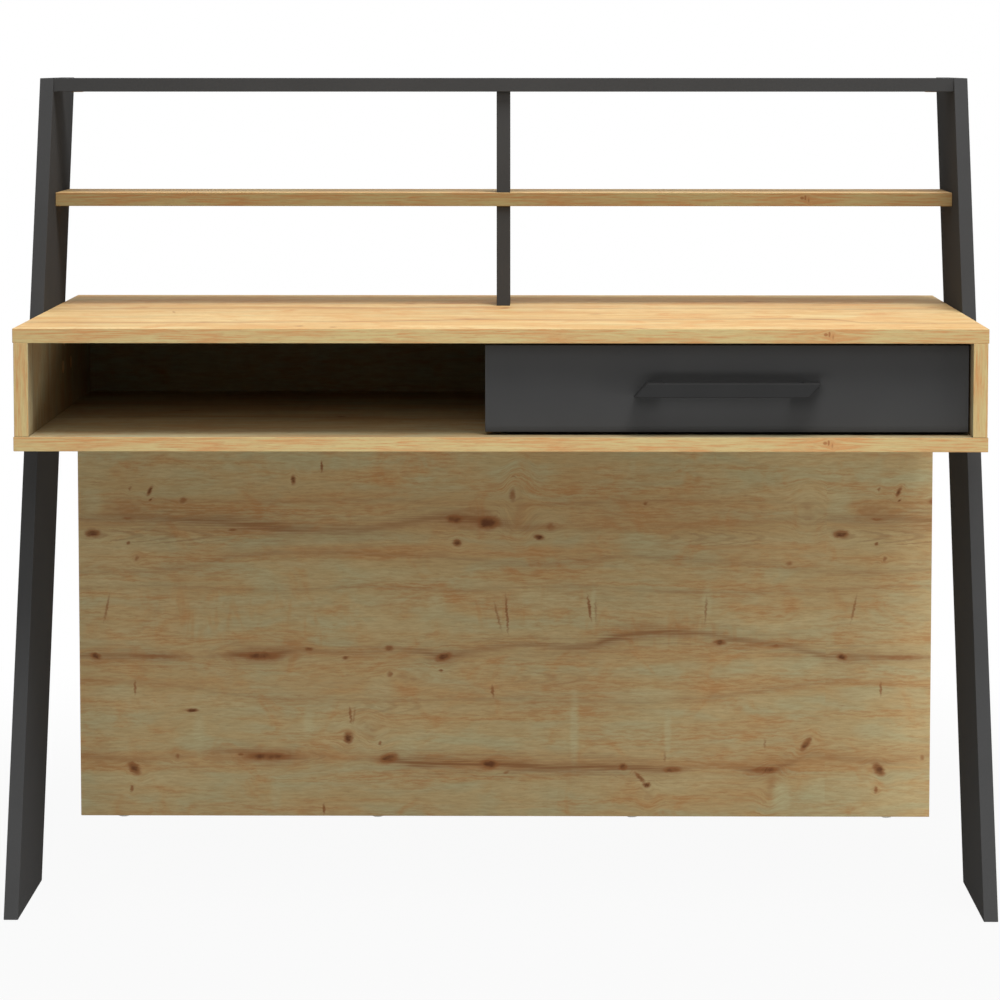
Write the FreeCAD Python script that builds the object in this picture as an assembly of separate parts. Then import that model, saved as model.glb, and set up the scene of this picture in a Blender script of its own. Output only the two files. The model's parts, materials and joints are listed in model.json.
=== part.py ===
import FreeCAD, Part
import os

from FreeCAD import Vector

# A writing desk with leaning side frames, in millimetres.
# The front looks along -Y, the wall side is +Y, +X is to the right seen from the front.
# The origin is on the floor, under the middle of the whole desk.

# The boards
board = 18.0                   # desktop, box, back panel, frames, shelf, bar, uprights
drawer_board = 15.0            # sides and back of the drawer
bottom_sheet = 3.0             # hardboard floor of the drawer
edge_radius = 0.8              # softened edges of every edged board

# The desktop and the box under it
desk_width = 1200.0
desk_depth = 550.0
desk_height = 740.0            # working surface above the floor
box_height = 152.0             # from the working surface to the underside of the box
box_side_inset = 1.0           # the box sides stand in from the ends of the desktop
divider_shift = 9.0            # middle of the divider, left of the middle of the desk

# The leaning side frames
frame_width = 188.0            # measured level, from the front edge to the rear edge
frame_lean = 356.0             # how far the top stands behind the foot
foot_reach = 6.0               # how far the foot stands in front of the desktop
glide_height = 2.0             # floor glides under the frames and the back panel

# The shelf, the bar and the uprights between the frames
lower_bay = 134.0              # clear height between the desktop and the shelf
upper_bay = 135.0              # clear height between the shelf and the bar
shelf_depth = 124.0
bar_depth = 70.0
upright_depth = 50.0
upright_setback = 10.0         # behind the front edge of the bar

# The drawer
drawer_recess = 22.0           # its front stands behind the front edge of the desktop
front_gap = 4.0                # above and below the drawer front
front_side_gap = 2.5           # between the drawer front and the right box side
front_overhang = 1.0           # the drawer front covers the divider and a little more
front_clearance = 2.0          # between the drawer front and the divider's front edge
drawer_lift = 16.0             # lower edge of the drawer sides above the box floor
drawer_side_height = 80.0
drawer_rear_room = 87.0        # between the drawer and the back panel
groove_lift = 8.0              # groove of the drawer floor above the drawer's lower edge
groove_depth = 5.0
groove_play = 0.2

# The drawer handle, a bow with slanted ends
handle_length = 214.0
handle_height = 17.5
handle_slant = 15.5            # the upper edge lies this far to the right of the lower one
handle_projection = 25.0
handle_bar = 9.0               # thickness of the bar in front of the finger gap
handle_post = 20.0             # width of each post
handle_edge = 1.0
handle_screw_spacing = 192.0

# The roller runners, one pair on each side of the drawer
runner_gap = 12.5              # between the drawer side and the wall beside it
runner_rear_inset = 3.0        # the runners end before the drawer's rear end
runner_steel = 1.2
rail_reach = 7.2               # how far the flanges of the fixed rail stand off the wall
roller_radius = 8.0
roller_play = 0.1              # between a roller and the track it runs on
roller_headroom = 0.3          # over a roller inside the fixed rail
front_roller_width = 3.0
rear_roller_width = 4.2
roller_inset = 12.0            # roller axis from the end of its rail
axle_lift = 13.0               # roller axes above the lower edge of the drawer sides
pin_radius = 2.0
pin_play = 0.05                # around a pin, in its roller and in its rail
pin_shoulder = 3.2
pin_head = 0.4                 # thickness of the riveted head
runner_foot = 12.7             # width of the flange under the drawer side
side_play = 0.1                # beside a roller, a pin head or the moving rail
flange_play = 0.3              # between the moving flange and the fixed rail

# Fasteners
bore_play = 0.1                # radial play of a fastener in its hole
end_play = 0.5                 # spare depth of a blind hole
overrun = 1.0                  # how far a cutter passes the face that it starts from
face_depth_share = 0.6         # depth of dowels and bolts in the face of a board
edge_depth = 20.0              # depth of dowels in the edge of a board
dowel_radius = 4.0
dowel_chamfer = 0.8
cam_radius = 7.5
cam_setback = 24.0             # from the end of a board to the middle of its cam
cam_depth_share = 0.75         # depth of a cam housing in the thickness of its board
cam_recess = 2.5
cam_recess_radius = 3.2
cap_radius = 8.5
cap_thickness = 1.0
bolt_thread_radius = 2.5
bolt_shank_radius = 3.0
bolt_neck_radius = 2.2
bolt_head_radius = 3.4
bolt_head_length = 4.0
bolt_neck_length = 2.5
bolt_bore_radius = 4.0
panel_screw_length = 50.0
panel_screw_head_radius = 5.0
panel_screw_shank_radius = 3.5
panel_screw_thread_radius = 2.6
panel_screw_head = 4.0
screw_recess = 2.0
screw_recess_radius = 2.0
frame_screw_bite = 12.0        # how far the frame screws go into the frames
frame_screw_radius = 2.2
frame_screw_head = 3.0
frame_screw_head_radius = 5.0
back_screw_length = 40.0
back_screw_radius = 1.9
back_screw_head = 3.0
back_screw_head_radius = 3.6
handle_screw_bite = 8.0
handle_screw_radius = 2.0
handle_screw_head = 2.5
handle_screw_head_radius = 4.0
runner_screw_length = 13.0
runner_screw_radius = 1.6
runner_screw_head = 0.7
runner_screw_head_radius = 3.2
nail_length = 18.0
nail_radius = 0.9
nail_head = 0.8
nail_head_radius = 2.5
glide_radius = 8.0
glide_pin_length = 14.0
glide_pin_radius = 1.2

# Places of the fasteners, measured in from the ends of their boards
carcass_screw_inset = 70.0
carcass_dowel_inset = 120.0
hidden_cam_inset = 30.0        # cams behind the frames, from the frames' own edges
frame_screw_inset = 60.0
frame_screw_drops = (22.0, 57.0)   # below the underside of the desktop
shelf_cam_inset = 30.0
bar_fastener_inset = 18.0
upright_dowel_inset = 12.0
back_row_inset = 90.0
back_dowel_inset = 150.0
glide_inset = 28.0
back_glide_inset = 60.0
drawer_cam_inset = 22.0
drawer_back_screw_inset = 18.0
nail_inset = 60.0
runner_screw_inset = 45.0
row_count = 4                  # screws, dowels and glides in a row along the back panel
runner_screw_count = 3
nail_count = 3

# Faces that several pieces share
half_width = desk_width / 2
overall_depth = desk_depth + foot_reach
rear_y = overall_depth / 2
desk_front_y = rear_y - desk_depth
foot_y = desk_front_y - foot_reach
back_y = rear_y - board                      # front face of the back panel
desk_under_z = desk_height - board
box_under_z = desk_height - box_height
box_floor_z = box_under_z + board
side_outer_x = half_width - box_side_inset
side_inner_x = side_outer_x - board
divider_left_x = -divider_shift - board / 2
divider_right_x = divider_left_x + board
front_y = desk_front_y + drawer_recess       # drawer front, seen face
front_back_y = front_y + board
divider_front_y = front_back_y + front_clearance

shelf_under_z = desk_height + lower_bay
shelf_height = shelf_under_z + board
bar_under_z = shelf_height + upper_bay
frame_height = bar_under_z + board


def frame_front_at(z):
    """Place in Y of the frames' front edge at a height."""
    return foot_y + frame_lean * (z - glide_height) / (frame_height - glide_height)


def frame_rear_at(z):
    """Place in Y of the frames' rear edge at a height."""
    return frame_front_at(z) + frame_width


bar_front_y = frame_front_at(frame_height)
upright_front_y = bar_front_y + upright_setback
upright_rear_y = upright_front_y + upright_depth
shelf_rear_y = frame_rear_at(shelf_under_z)
shelf_front_y = shelf_rear_y - shelf_depth

drawer_under_z = box_floor_z + drawer_lift
drawer_top_z = drawer_under_z + drawer_side_height
drawer_left_x = divider_right_x + runner_gap
drawer_right_x = side_inner_x - runner_gap
drawer_rear_y = back_y - drawer_rear_room
sheet_under_z = drawer_under_z + groove_lift
sheet_top_z = sheet_under_z + bottom_sheet

axle_z = drawer_under_z + axle_lift
track_z = axle_z - roller_radius - roller_play
rail_top_z = axle_z + roller_radius + roller_headroom
flange_z = axle_z + roller_radius + roller_play
runner_front_y = divider_front_y
runner_length = drawer_rear_y - runner_rear_inset - runner_front_y
front_axle_y = runner_front_y + roller_inset
rear_axle_y = runner_front_y + runner_length - roller_inset

X_AXIS = Vector(1, 0, 0)
Y_AXIS = Vector(0, 1, 0)
Z_AXIS = Vector(0, 0, 1)

pieces = {}                    # node name to one solid
groups = {}                    # node name to a list of like solids
bores = {}                     # node name to the cutters of its holes and grooves


def block(low, high):
    """A square block between two corners."""
    size = high - low
    return Part.makeBox(size.x, size.y, size.z, low)


def prism(outline, along):
    """A flat outline pushed along a direction."""
    return Part.Face(Part.makePolygon(outline + outline[:1])).extrude(along)


def softened(shape, radius):
    """The same solid with all its edges rounded."""
    return shape.makeFillet(radius, shape.Edges)


def turned(profile, start, axis):
    """A turned solid. The profile holds (distance along the axis, radius) pairs."""
    points = [Vector(radius, 0, along) for along, radius in profile]
    if profile[0][1] > 0:
        points.insert(0, Vector(0, 0, profile[0][0]))
    points.append(Vector(0, 0, profile[-1][0]))
    face = Part.Face(Part.makePolygon(points + points[:1]))
    solid = face.revolve(Vector(0, 0, 0), Z_AXIS, 360)
    solid.Placement = FreeCAD.Placement(start, FreeCAD.Rotation(Z_AXIS, axis))
    return solid


def board_piece(name, low, high):
    """An edged board between two corners."""
    pieces[name] = softened(block(low, high), min(edge_radius, board / 4))


def add(group, solid):
    groups.setdefault(group, []).append(solid)


def bore(names, cutter):
    for name in names:
        bores.setdefault(name, []).append(cutter)


def two_places(low, high, inset):
    """A place near each end of a stretch."""
    return (low + inset, high - inset)


def row_places(low, high, inset, count):
    """Evenly spaced places along a stretch."""
    step = (high - low - 2 * inset) / (count - 1)
    return [low + inset + step * place for place in range(count)]


# Profiles of the fasteners. Each has the piece, and the hole that it needs.

def headed(head, head_radius, shank_radius, length):
    """A screw or nail whose head lies on the face, with a driver recess."""
    recess = min(screw_recess, head / 2)
    recess_radius = min(screw_recess_radius, head_radius / 2)
    piece = [(recess - head, 0), (-head, recess_radius), (-head, head_radius), (0, head_radius),
             (0, shank_radius), (length, shank_radius)]
    hole_radius = shank_radius + bore_play
    return piece, [(-overrun, hole_radius), (length + end_play, hole_radius)]


def countersunk(head, head_radius, shank_radius, length):
    """A screw whose head is flush with the face."""
    piece = [(screw_recess, 0), (0, screw_recess_radius), (0, head_radius),
             (head, shank_radius), (length, shank_radius)]
    hole = [(0, head_radius + bore_play), (head, shank_radius + bore_play),
            (length + end_play, shank_radius + bore_play)]
    return piece, hole


def dowel(low, high):
    """A grooved beech dowel from one depth to another across a joint."""
    piece = [(low, dowel_radius - dowel_chamfer), (low + dowel_chamfer, dowel_radius),
             (high - dowel_chamfer, dowel_radius), (high, dowel_radius - dowel_chamfer)]
    hole_radius = dowel_radius + bore_play
    return piece, [(low - end_play, hole_radius), (high + end_play, hole_radius)]


def panel_screw():
    """The long screw that holds a board by its edge."""
    piece = [(screw_recess, 0), (0, screw_recess_radius), (0, panel_screw_head_radius),
             (panel_screw_head, panel_screw_shank_radius), (board, panel_screw_shank_radius),
             (board, panel_screw_thread_radius), (panel_screw_length, panel_screw_thread_radius)]
    hole = [(0, panel_screw_head_radius + bore_play),
            (panel_screw_head, panel_screw_shank_radius + bore_play),
            (board, panel_screw_shank_radius + bore_play),
            (board, panel_screw_thread_radius + bore_play),
            (panel_screw_length + end_play, panel_screw_thread_radius + bore_play)]
    return piece, hole


def fasten(group, kind, start, axis, names):
    """One fastener, and its hole through the boards that it joins."""
    piece, hole = kind
    add(group, turned(piece, start, axis))
    bore(names, turned(hole, start, axis))


def cover(start, outward):
    """A thin stick-on cap over a fitting."""
    add("cover_caps", turned([(0, cap_radius), (cap_thickness, cap_radius)], start, outward))


def cam_joint(prefix, seat, axis, cam_face, thickness, faced, edged, capped=True):
    """A bolt in the face of one board, drawn up by a cam in the next one.

    The seat is where the bolt crosses the joint, the axis points into the board with
    the cam, and cam_face points out of the face that the cam is pressed into.
    """
    grip = face_depth_share * board
    head_end = cam_setback + bolt_head_length / 2
    head_start = head_end - bolt_head_length
    piece = [(-grip, bolt_thread_radius), (0, bolt_thread_radius), (0, bolt_shank_radius),
             (head_start - bolt_neck_length, bolt_shank_radius),
             (head_start - bolt_neck_length, bolt_neck_radius),
             (head_start, bolt_neck_radius), (head_start, bolt_head_radius),
             (head_end, bolt_head_radius)]
    hole = [(-grip - end_play, bolt_thread_radius + bore_play),
            (0, bolt_thread_radius + bore_play), (0, bolt_bore_radius),
            (head_end + end_play, bolt_bore_radius)]
    add(prefix + "cam_bolts", turned(piece, seat, axis))
    bolt_hole = turned(hole, seat, axis)
    bore([faced, edged], bolt_hole)
    depth = cam_depth_share * thickness
    middle = seat + axis * cam_setback + cam_face * (thickness / 2)
    housing = turned([(cam_recess, 0), (0, cam_recess_radius), (0, cam_radius), (depth, cam_radius)],
                     middle, -cam_face)
    add(prefix + "cam_housings", housing.cut(bolt_hole))
    pocket = [(-overrun, cam_radius + bore_play), (depth + end_play, cam_radius + bore_play)]
    bore([edged], turned(pocket, middle, -cam_face))
    if capped:
        cover(middle, cam_face)


def make_boards():
    """The desktop, the box, the back panel, the shelf, the bar and the uprights."""
    board_piece("top_panel", Vector(-half_width, desk_front_y, desk_under_z),
                Vector(half_width, rear_y, desk_height))
    board_piece("bottom_panel", Vector(-half_width, desk_front_y, box_under_z),
                Vector(half_width, back_y, box_floor_z))
    board_piece("back_panel", Vector(-half_width, back_y, glide_height),
                Vector(half_width, rear_y, desk_under_z))
    board_piece("box_side_left", Vector(-side_outer_x, desk_front_y, box_floor_z),
                Vector(-side_inner_x, back_y, desk_under_z))
    board_piece("box_side_right", Vector(side_inner_x, desk_front_y, box_floor_z),
                Vector(side_outer_x, back_y, desk_under_z))
    board_piece("box_divider", Vector(divider_left_x, divider_front_y, box_floor_z),
                Vector(divider_right_x, back_y, desk_under_z))
    board_piece("shelf", Vector(-half_width, shelf_front_y, shelf_under_z),
                Vector(half_width, shelf_rear_y, shelf_height))
    board_piece("top_bar", Vector(-half_width, bar_front_y, bar_under_z),
                Vector(half_width, bar_front_y + bar_depth, frame_height))
    board_piece("lower_upright", Vector(-board / 2, upright_front_y, desk_height),
                Vector(board / 2, upright_rear_y, shelf_under_z))
    board_piece("upper_upright", Vector(-board / 2, upright_front_y, shelf_height),
                Vector(board / 2, upright_rear_y, bar_under_z))


def make_frames():
    """The two leaning side frames, outside the ends of the desktop."""
    for name, inner_x in (("side_frame_left", -half_width - board), ("side_frame_right", half_width)):
        outline = [Vector(inner_x, frame_front_at(glide_height), glide_height),
                   Vector(inner_x, frame_rear_at(glide_height), glide_height),
                   Vector(inner_x, frame_rear_at(frame_height), frame_height),
                   Vector(inner_x, frame_front_at(frame_height), frame_height)]
        pieces[name] = softened(prism(outline, X_AXIS * board), min(edge_radius, board / 4))


def make_box_joints():
    """Cams and dowels under the desktop, long screws and dowels up through the box floor."""
    cam_z = desk_under_z - cam_setback
    hidden = two_places(frame_front_at(cam_z), frame_rear_at(cam_z), hidden_cam_inset)
    inside = two_places(divider_front_y, back_y, carcass_screw_inset)
    uprights = (("box_side_left", -side_outer_x + board / 2, desk_front_y, -X_AXIS, hidden, False),
                ("box_side_right", side_outer_x - board / 2, desk_front_y, X_AXIS, hidden, False),
                ("box_divider", divider_left_x + board / 2, divider_front_y, -X_AXIS, inside, True))
    across = dowel(-face_depth_share * board, edge_depth)
    for name, x, start_y, cam_face, cam_places, capped in uprights:
        for y in cam_places:
            cam_joint("", Vector(x, y, desk_under_z), -Z_AXIS, cam_face, board, "top_panel", name,
                      capped)
        for y in two_places(start_y, back_y, carcass_screw_inset):
            fasten("panel_screws", panel_screw(), Vector(x, y, box_under_z), Z_AXIS,
                   ["bottom_panel", name])
        for y in two_places(start_y, back_y, carcass_dowel_inset):
            fasten("dowels", across, Vector(x, y, desk_under_z), -Z_AXIS, ["top_panel", name])
            fasten("dowels", across, Vector(x, y, box_floor_z), Z_AXIS, ["bottom_panel", name])


def make_back_joints():
    """Long screws from behind into the box, and dowels up into the desktop."""
    across = dowel(-face_depth_share * board, edge_depth)
    for x in row_places(-half_width, half_width, back_row_inset, row_count):
        fasten("panel_screws", panel_screw(), Vector(x, rear_y, box_under_z + board / 2), -Y_AXIS,
               ["back_panel", "bottom_panel"])
    middle_z = (box_floor_z + desk_under_z) / 2
    for name, x in (("box_side_left", -side_outer_x + board / 2),
                    ("box_side_right", side_outer_x - board / 2),
                    ("box_divider", divider_left_x + board / 2)):
        fasten("panel_screws", panel_screw(), Vector(x, rear_y, middle_z), -Y_AXIS,
               ["back_panel", name])
    for x in row_places(-half_width, half_width, back_dowel_inset, row_count):
        fasten("dowels", across, Vector(x, back_y + board / 2, desk_under_z), -Z_AXIS,
               ["top_panel", "back_panel"])


def make_frame_joints():
    """Screws from inside the box into the frames, and the shelf and bar between them."""
    length = board + box_side_inset + frame_screw_bite
    screw = countersunk(frame_screw_head, frame_screw_head_radius, frame_screw_radius, length)
    across = dowel(-face_depth_share * board, edge_depth)
    for side, outward in (("left", -1), ("right", 1)):
        frame = "side_frame_" + side
        for drop in frame_screw_drops:
            z = desk_under_z - drop
            for y in two_places(frame_front_at(z), frame_rear_at(z), frame_screw_inset):
                start = Vector(outward * side_inner_x, y, z)
                fasten("frame_screws", screw, start, X_AXIS * outward, ["box_side_" + side, frame])
                cover(start, X_AXIS * -outward)
        for y in two_places(shelf_front_y, shelf_rear_y, shelf_cam_inset):
            seat = Vector(outward * half_width, y, shelf_under_z + board / 2)
            cam_joint("", seat, X_AXIS * -outward, -Z_AXIS, board, frame, "shelf")
        middle_y = (shelf_front_y + shelf_rear_y) / 2
        seat = Vector(outward * half_width, middle_y, shelf_under_z + board / 2)
        fasten("dowels", across, seat, X_AXIS * -outward, [frame, "shelf"])
        front, rear = two_places(bar_front_y, bar_front_y + bar_depth, bar_fastener_inset)
        seat = Vector(outward * half_width, rear, bar_under_z + board / 2)
        cam_joint("", seat, X_AXIS * -outward, -Z_AXIS, board, frame, "top_bar")
        seat = Vector(outward * half_width, front, bar_under_z + board / 2)
        fasten("dowels", across, seat, X_AXIS * -outward, [frame, "top_bar"])


def make_upright_joints():
    """Dowels at the foot and head of the uprights, and right through the shelf."""
    across = dowel(-face_depth_share * board, edge_depth)
    through = dowel(-edge_depth, board + edge_depth)
    for y in two_places(upright_front_y, upright_rear_y, upright_dowel_inset):
        fasten("dowels", across, Vector(0, y, desk_height), Z_AXIS, ["top_panel", "lower_upright"])
        fasten("dowels", across, Vector(0, y, bar_under_z), -Z_AXIS, ["top_bar", "upper_upright"])
        fasten("through_dowels", through, Vector(0, y, shelf_under_z), Z_AXIS,
               ["lower_upright", "shelf", "upper_upright"])


def make_glides():
    """Low glides pressed into the feet and the lower edge of the back panel."""
    end = glide_height + glide_pin_length
    piece = [(0, glide_radius), (glide_height, glide_radius), (glide_height, glide_pin_radius),
             (end, glide_pin_radius)]
    hole = [(0, glide_pin_radius + bore_play), (end + end_play, glide_pin_radius + bore_play)]
    for name, x in (("side_frame_left", -half_width - board / 2),
                    ("side_frame_right", half_width + board / 2)):
        for y in two_places(frame_front_at(glide_height), frame_rear_at(glide_height), glide_inset):
            fasten("floor_glides", (piece, hole), Vector(x, y, 0), Z_AXIS, [name])
    for x in row_places(-half_width, half_width, back_glide_inset, row_count):
        fasten("floor_glides", (piece, hole), Vector(x, back_y + board / 2, 0), Z_AXIS,
               ["back_panel"])


def make_drawer():
    """The drawer box, its front and the sheet in its grooves."""
    front_low = Vector(divider_left_x - front_overhang, front_y, box_floor_z + front_gap)
    front_high = Vector(side_inner_x - front_side_gap, front_back_y, desk_under_z - front_gap)
    board_piece("drawer_front", front_low, front_high)
    inner_left = drawer_left_x + drawer_board
    inner_right = drawer_right_x - drawer_board
    pieces["drawer_side_left"] = block(Vector(drawer_left_x, front_back_y, drawer_under_z),
                                       Vector(inner_left, drawer_rear_y, drawer_top_z))
    pieces["drawer_side_right"] = block(Vector(inner_right, front_back_y, drawer_under_z),
                                        Vector(drawer_right_x, drawer_rear_y, drawer_top_z))
    back_front_y = drawer_rear_y - drawer_board
    pieces["drawer_back"] = block(Vector(inner_left, back_front_y, sheet_top_z),
                                  Vector(inner_right, drawer_rear_y, drawer_top_z))
    sheet_low = Vector(inner_left - groove_depth, front_back_y - groove_depth, sheet_under_z)
    sheet_high = Vector(inner_right + groove_depth, drawer_rear_y, sheet_top_z)
    pieces["drawer_bottom"] = block(sheet_low, sheet_high)
    play = Vector(groove_play, groove_play, 0)
    lift = Vector(0, overrun, groove_play)
    bore(["drawer_side_left", "drawer_side_right", "drawer_front"],
         block(sheet_low - play, sheet_high + lift + Vector(groove_play, 0, 0)))

    back_screw = countersunk(back_screw_head, back_screw_head_radius, back_screw_radius,
                             back_screw_length)
    for side, x, inward in (("left", drawer_left_x, 1), ("right", drawer_right_x, -1)):
        name = "drawer_side_" + side
        for z in two_places(drawer_under_z, drawer_top_z, drawer_cam_inset):
            seat = Vector(x + inward * drawer_board / 2, front_back_y, z)
            cam_joint("drawer_", seat, Y_AXIS, X_AXIS * inward, drawer_board, "drawer_front", name,
                      capped=False)
        for z in two_places(sheet_top_z, drawer_top_z, drawer_back_screw_inset):
            fasten("drawer_back_screws", back_screw,
                   Vector(x, back_front_y + drawer_board / 2, z), X_AXIS * inward,
                   [name, "drawer_back"])
    nail = headed(nail_head, nail_head_radius, nail_radius, nail_length)
    for x in row_places(inner_left, inner_right, nail_inset, nail_count):
        fasten("drawer_bottom_nails", nail,
               Vector(x, back_front_y + drawer_board / 2, sheet_under_z), Z_AXIS,
               ["drawer_bottom", "drawer_back"])


def make_handle():
    """A bow handle, cut at a slant at both ends, held by two screws from inside."""
    front_box = pieces["drawer_front"].BoundBox
    middle_x, middle_z = front_box.Center.x, front_box.Center.z
    low_z, high_z = middle_z - handle_height / 2, middle_z + handle_height / 2

    def slanted(length, y, grow):
        """A slanted outline, grown above and below along its own slant."""
        reach = handle_slant / 2 * (1 + 2 * grow / handle_height)
        return [Vector(middle_x - length / 2 - reach, y, low_z - grow),
                Vector(middle_x + length / 2 - reach, y, low_z - grow),
                Vector(middle_x + length / 2 + reach, y, high_z + grow),
                Vector(middle_x - length / 2 + reach, y, high_z + grow)]

    seen_y = front_y - handle_projection
    bow = prism(slanted(handle_length, seen_y, 0), Y_AXIS * handle_projection)
    seen_edges = [edge for edge in bow.Edges if edge.BoundBox.YMax < front_y - handle_bar]
    bow = bow.makeChamfer(min(handle_edge, handle_bar / 4), seen_edges)
    gap_y = seen_y + handle_bar
    gap = prism(slanted(handle_length - 2 * handle_post, gap_y, overrun),
                Y_AXIS * (handle_projection - handle_bar + overrun))
    pieces["drawer_handle"] = bow.cut(gap)
    screw = headed(handle_screw_head, handle_screw_head_radius, handle_screw_radius,
                   board + handle_screw_bite)
    for offset in (-handle_screw_spacing / 2, handle_screw_spacing / 2):
        fasten("handle_screws", screw, Vector(middle_x + offset, front_back_y, middle_z), -Y_AXIS,
               ["drawer_front", "drawer_handle"])


def make_runners():
    """On each side a fixed rail with a front roller, and a moving rail with a rear roller."""
    for side, wall_x, inward, wall in (("left", divider_right_x, 1, "box_divider"),
                                       ("right", side_inner_x, -1, "box_side_right")):
        def at(off, z, y=runner_front_y):
            """A point at a distance off the wall, towards the drawer."""
            return Vector(wall_x + inward * off, y, z)

        steel = runner_steel
        moving_off = runner_gap - steel
        flange_off = rail_reach + flange_play
        along = Y_AXIS * runner_length
        fixed = [at(0, track_z - steel), at(rail_reach, track_z - steel), at(rail_reach, track_z),
                 at(steel, track_z), at(steel, rail_top_z), at(rail_reach, rail_top_z),
                 at(rail_reach, rail_top_z + steel), at(0, rail_top_z + steel)]
        moving = [at(moving_off + runner_foot, drawer_under_z - steel),
                  at(moving_off + runner_foot, drawer_under_z), at(runner_gap, drawer_under_z),
                  at(runner_gap, flange_z + steel), at(flange_off, flange_z + steel),
                  at(flange_off, flange_z), at(moving_off, flange_z),
                  at(moving_off, drawer_under_z - steel)]
        fixed_name = "fixed_rail_" + side
        moving_name = "moving_rail_" + side
        pieces[fixed_name] = prism(fixed, along)
        pieces[moving_name] = prism(moving, along)

        out = X_AXIS * inward
        roller_end = moving_off - side_play - pin_head - side_play
        roller_start = roller_end - front_roller_width
        pin = [(0, pin_radius), (steel, pin_radius), (steel, pin_shoulder),
               (roller_start - side_play, pin_shoulder), (roller_start - side_play, pin_radius),
               (roller_end + side_play, pin_radius), (roller_end + side_play, pin_shoulder),
               (roller_end + side_play + pin_head, pin_shoulder)]
        add("front_roller_pins", turned(pin, at(0, axle_z, front_axle_y), out))
        seat = [(-overrun, pin_radius + pin_play), (steel + overrun, pin_radius + pin_play)]
        bore([fixed_name], turned(seat, at(0, axle_z, front_axle_y), out))
        pieces["front_roller_" + side] = roller(at(roller_start, axle_z, front_axle_y), out,
                                                front_roller_width)

        rear_end = runner_gap - (rail_reach - flange_play)
        rear_tip = rear_end + rear_roller_width
        pin = [(0, pin_radius), (steel, pin_radius), (steel, pin_shoulder),
               (rear_end - side_play, pin_shoulder), (rear_end - side_play, pin_radius),
               (rear_tip + side_play, pin_radius), (rear_tip + side_play, pin_shoulder),
               (rear_tip + side_play + pin_head, pin_shoulder)]
        add("rear_roller_pins", turned(pin, at(runner_gap, axle_z, rear_axle_y), -out))
        bore([moving_name], turned(seat, at(runner_gap, axle_z, rear_axle_y), -out))
        pieces["rear_roller_" + side] = roller(at(runner_gap - rear_tip, axle_z, rear_axle_y), out,
                                               rear_roller_width)

        screw = headed(runner_screw_head, runner_screw_head_radius, runner_screw_radius,
                       runner_screw_length)
        for y in row_places(runner_front_y, runner_front_y + runner_length, runner_screw_inset,
                            runner_screw_count):
            fasten("fixed_rail_screws", screw, at(steel, axle_z, y), -out, [fixed_name, wall])
            fasten("moving_rail_screws", screw,
                   at(runner_gap + drawer_board / 2, drawer_under_z - steel, y), Z_AXIS,
                   [moving_name, "drawer_side_" + side])


def roller(start, axis, width):
    """A plain roller with a bore that runs on its pin."""
    tyre = turned([(0, roller_radius), (width, roller_radius)], start, axis)
    hole = turned([(-overrun, pin_radius + pin_play), (width + overrun, pin_radius + pin_play)],
                  start, axis)
    return tyre.cut(hole)


def save():
    """Each node to its own file, with its holes cut."""
    os.makedirs("parts", exist_ok=True)
    for name, solid in pieces.items():
        if name in bores:
            solid = solid.cut(bores[name])
        solids = solid.Solids
        shape = solids[0] if len(solids) == 1 else Part.makeCompound(solids)
        shape.exportStep("parts/" + name + ".step")
    for name, solids in groups.items():
        whole = [part for solid in solids for part in solid.Solids]
        Part.makeCompound(whole).exportStep("parts/" + name + ".step")


make_boards()
make_frames()
make_box_joints()
make_back_joints()
make_frame_joints()
make_upright_joints()
make_glides()
make_drawer()
make_handle()
make_runners()
save()
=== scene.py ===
import json
import math

import bmesh
import bpy
from mathutils import Matrix, Vector


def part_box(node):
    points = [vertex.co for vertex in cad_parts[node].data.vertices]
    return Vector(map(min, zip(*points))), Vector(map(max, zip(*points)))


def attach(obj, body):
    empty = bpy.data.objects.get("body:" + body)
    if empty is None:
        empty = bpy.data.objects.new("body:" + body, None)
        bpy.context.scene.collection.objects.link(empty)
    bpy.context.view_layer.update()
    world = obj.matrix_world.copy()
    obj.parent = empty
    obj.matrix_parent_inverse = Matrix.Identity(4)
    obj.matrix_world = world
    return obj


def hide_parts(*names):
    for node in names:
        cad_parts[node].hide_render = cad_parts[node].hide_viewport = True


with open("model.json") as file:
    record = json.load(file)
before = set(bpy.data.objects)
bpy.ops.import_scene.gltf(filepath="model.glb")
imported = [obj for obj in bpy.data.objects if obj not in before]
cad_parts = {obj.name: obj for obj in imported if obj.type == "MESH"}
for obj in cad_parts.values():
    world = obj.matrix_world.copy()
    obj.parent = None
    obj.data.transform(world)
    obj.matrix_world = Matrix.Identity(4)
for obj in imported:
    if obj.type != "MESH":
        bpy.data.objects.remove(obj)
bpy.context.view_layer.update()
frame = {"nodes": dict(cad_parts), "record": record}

MM = 0.001
X, Y, Z = 0, 1, 2
AXES = (X, Y, Z)
WHITE = (1.0, 1.0, 1.0, 1.0)
BLACK = (0.0, 0.0, 0.0, 1.0)


def tone(red, green, blue):
    """A paint tone given as screen values from 0 to 255."""
    linear = []
    for value in (red, green, blue):
        share = value / 255
        linear.append(share / 12.92 if share <= 0.04045 else ((share + 0.055) / 1.055) ** 2.4)
    return (*linear, 1.0)


# Node helpers: each returns the socket that carries its result

def fill(tree, node, inputs):
    for name, value in inputs.items():
        socket = node.inputs[name]
        if isinstance(value, bpy.types.NodeSocket):
            tree.links.new(value, socket)
        else:
            socket.default_value = value
    return node


def maths(tree, operation, *values):
    node = tree.nodes.new("ShaderNodeMath")
    node.operation = operation
    fill(tree, node, dict(enumerate(values)))
    return node.outputs[0]


def vector_maths(tree, operation, *values, output=0):
    node = tree.nodes.new("ShaderNodeVectorMath")
    node.operation = operation
    fill(tree, node, dict(enumerate(values)))
    return node.outputs[output]


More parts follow.
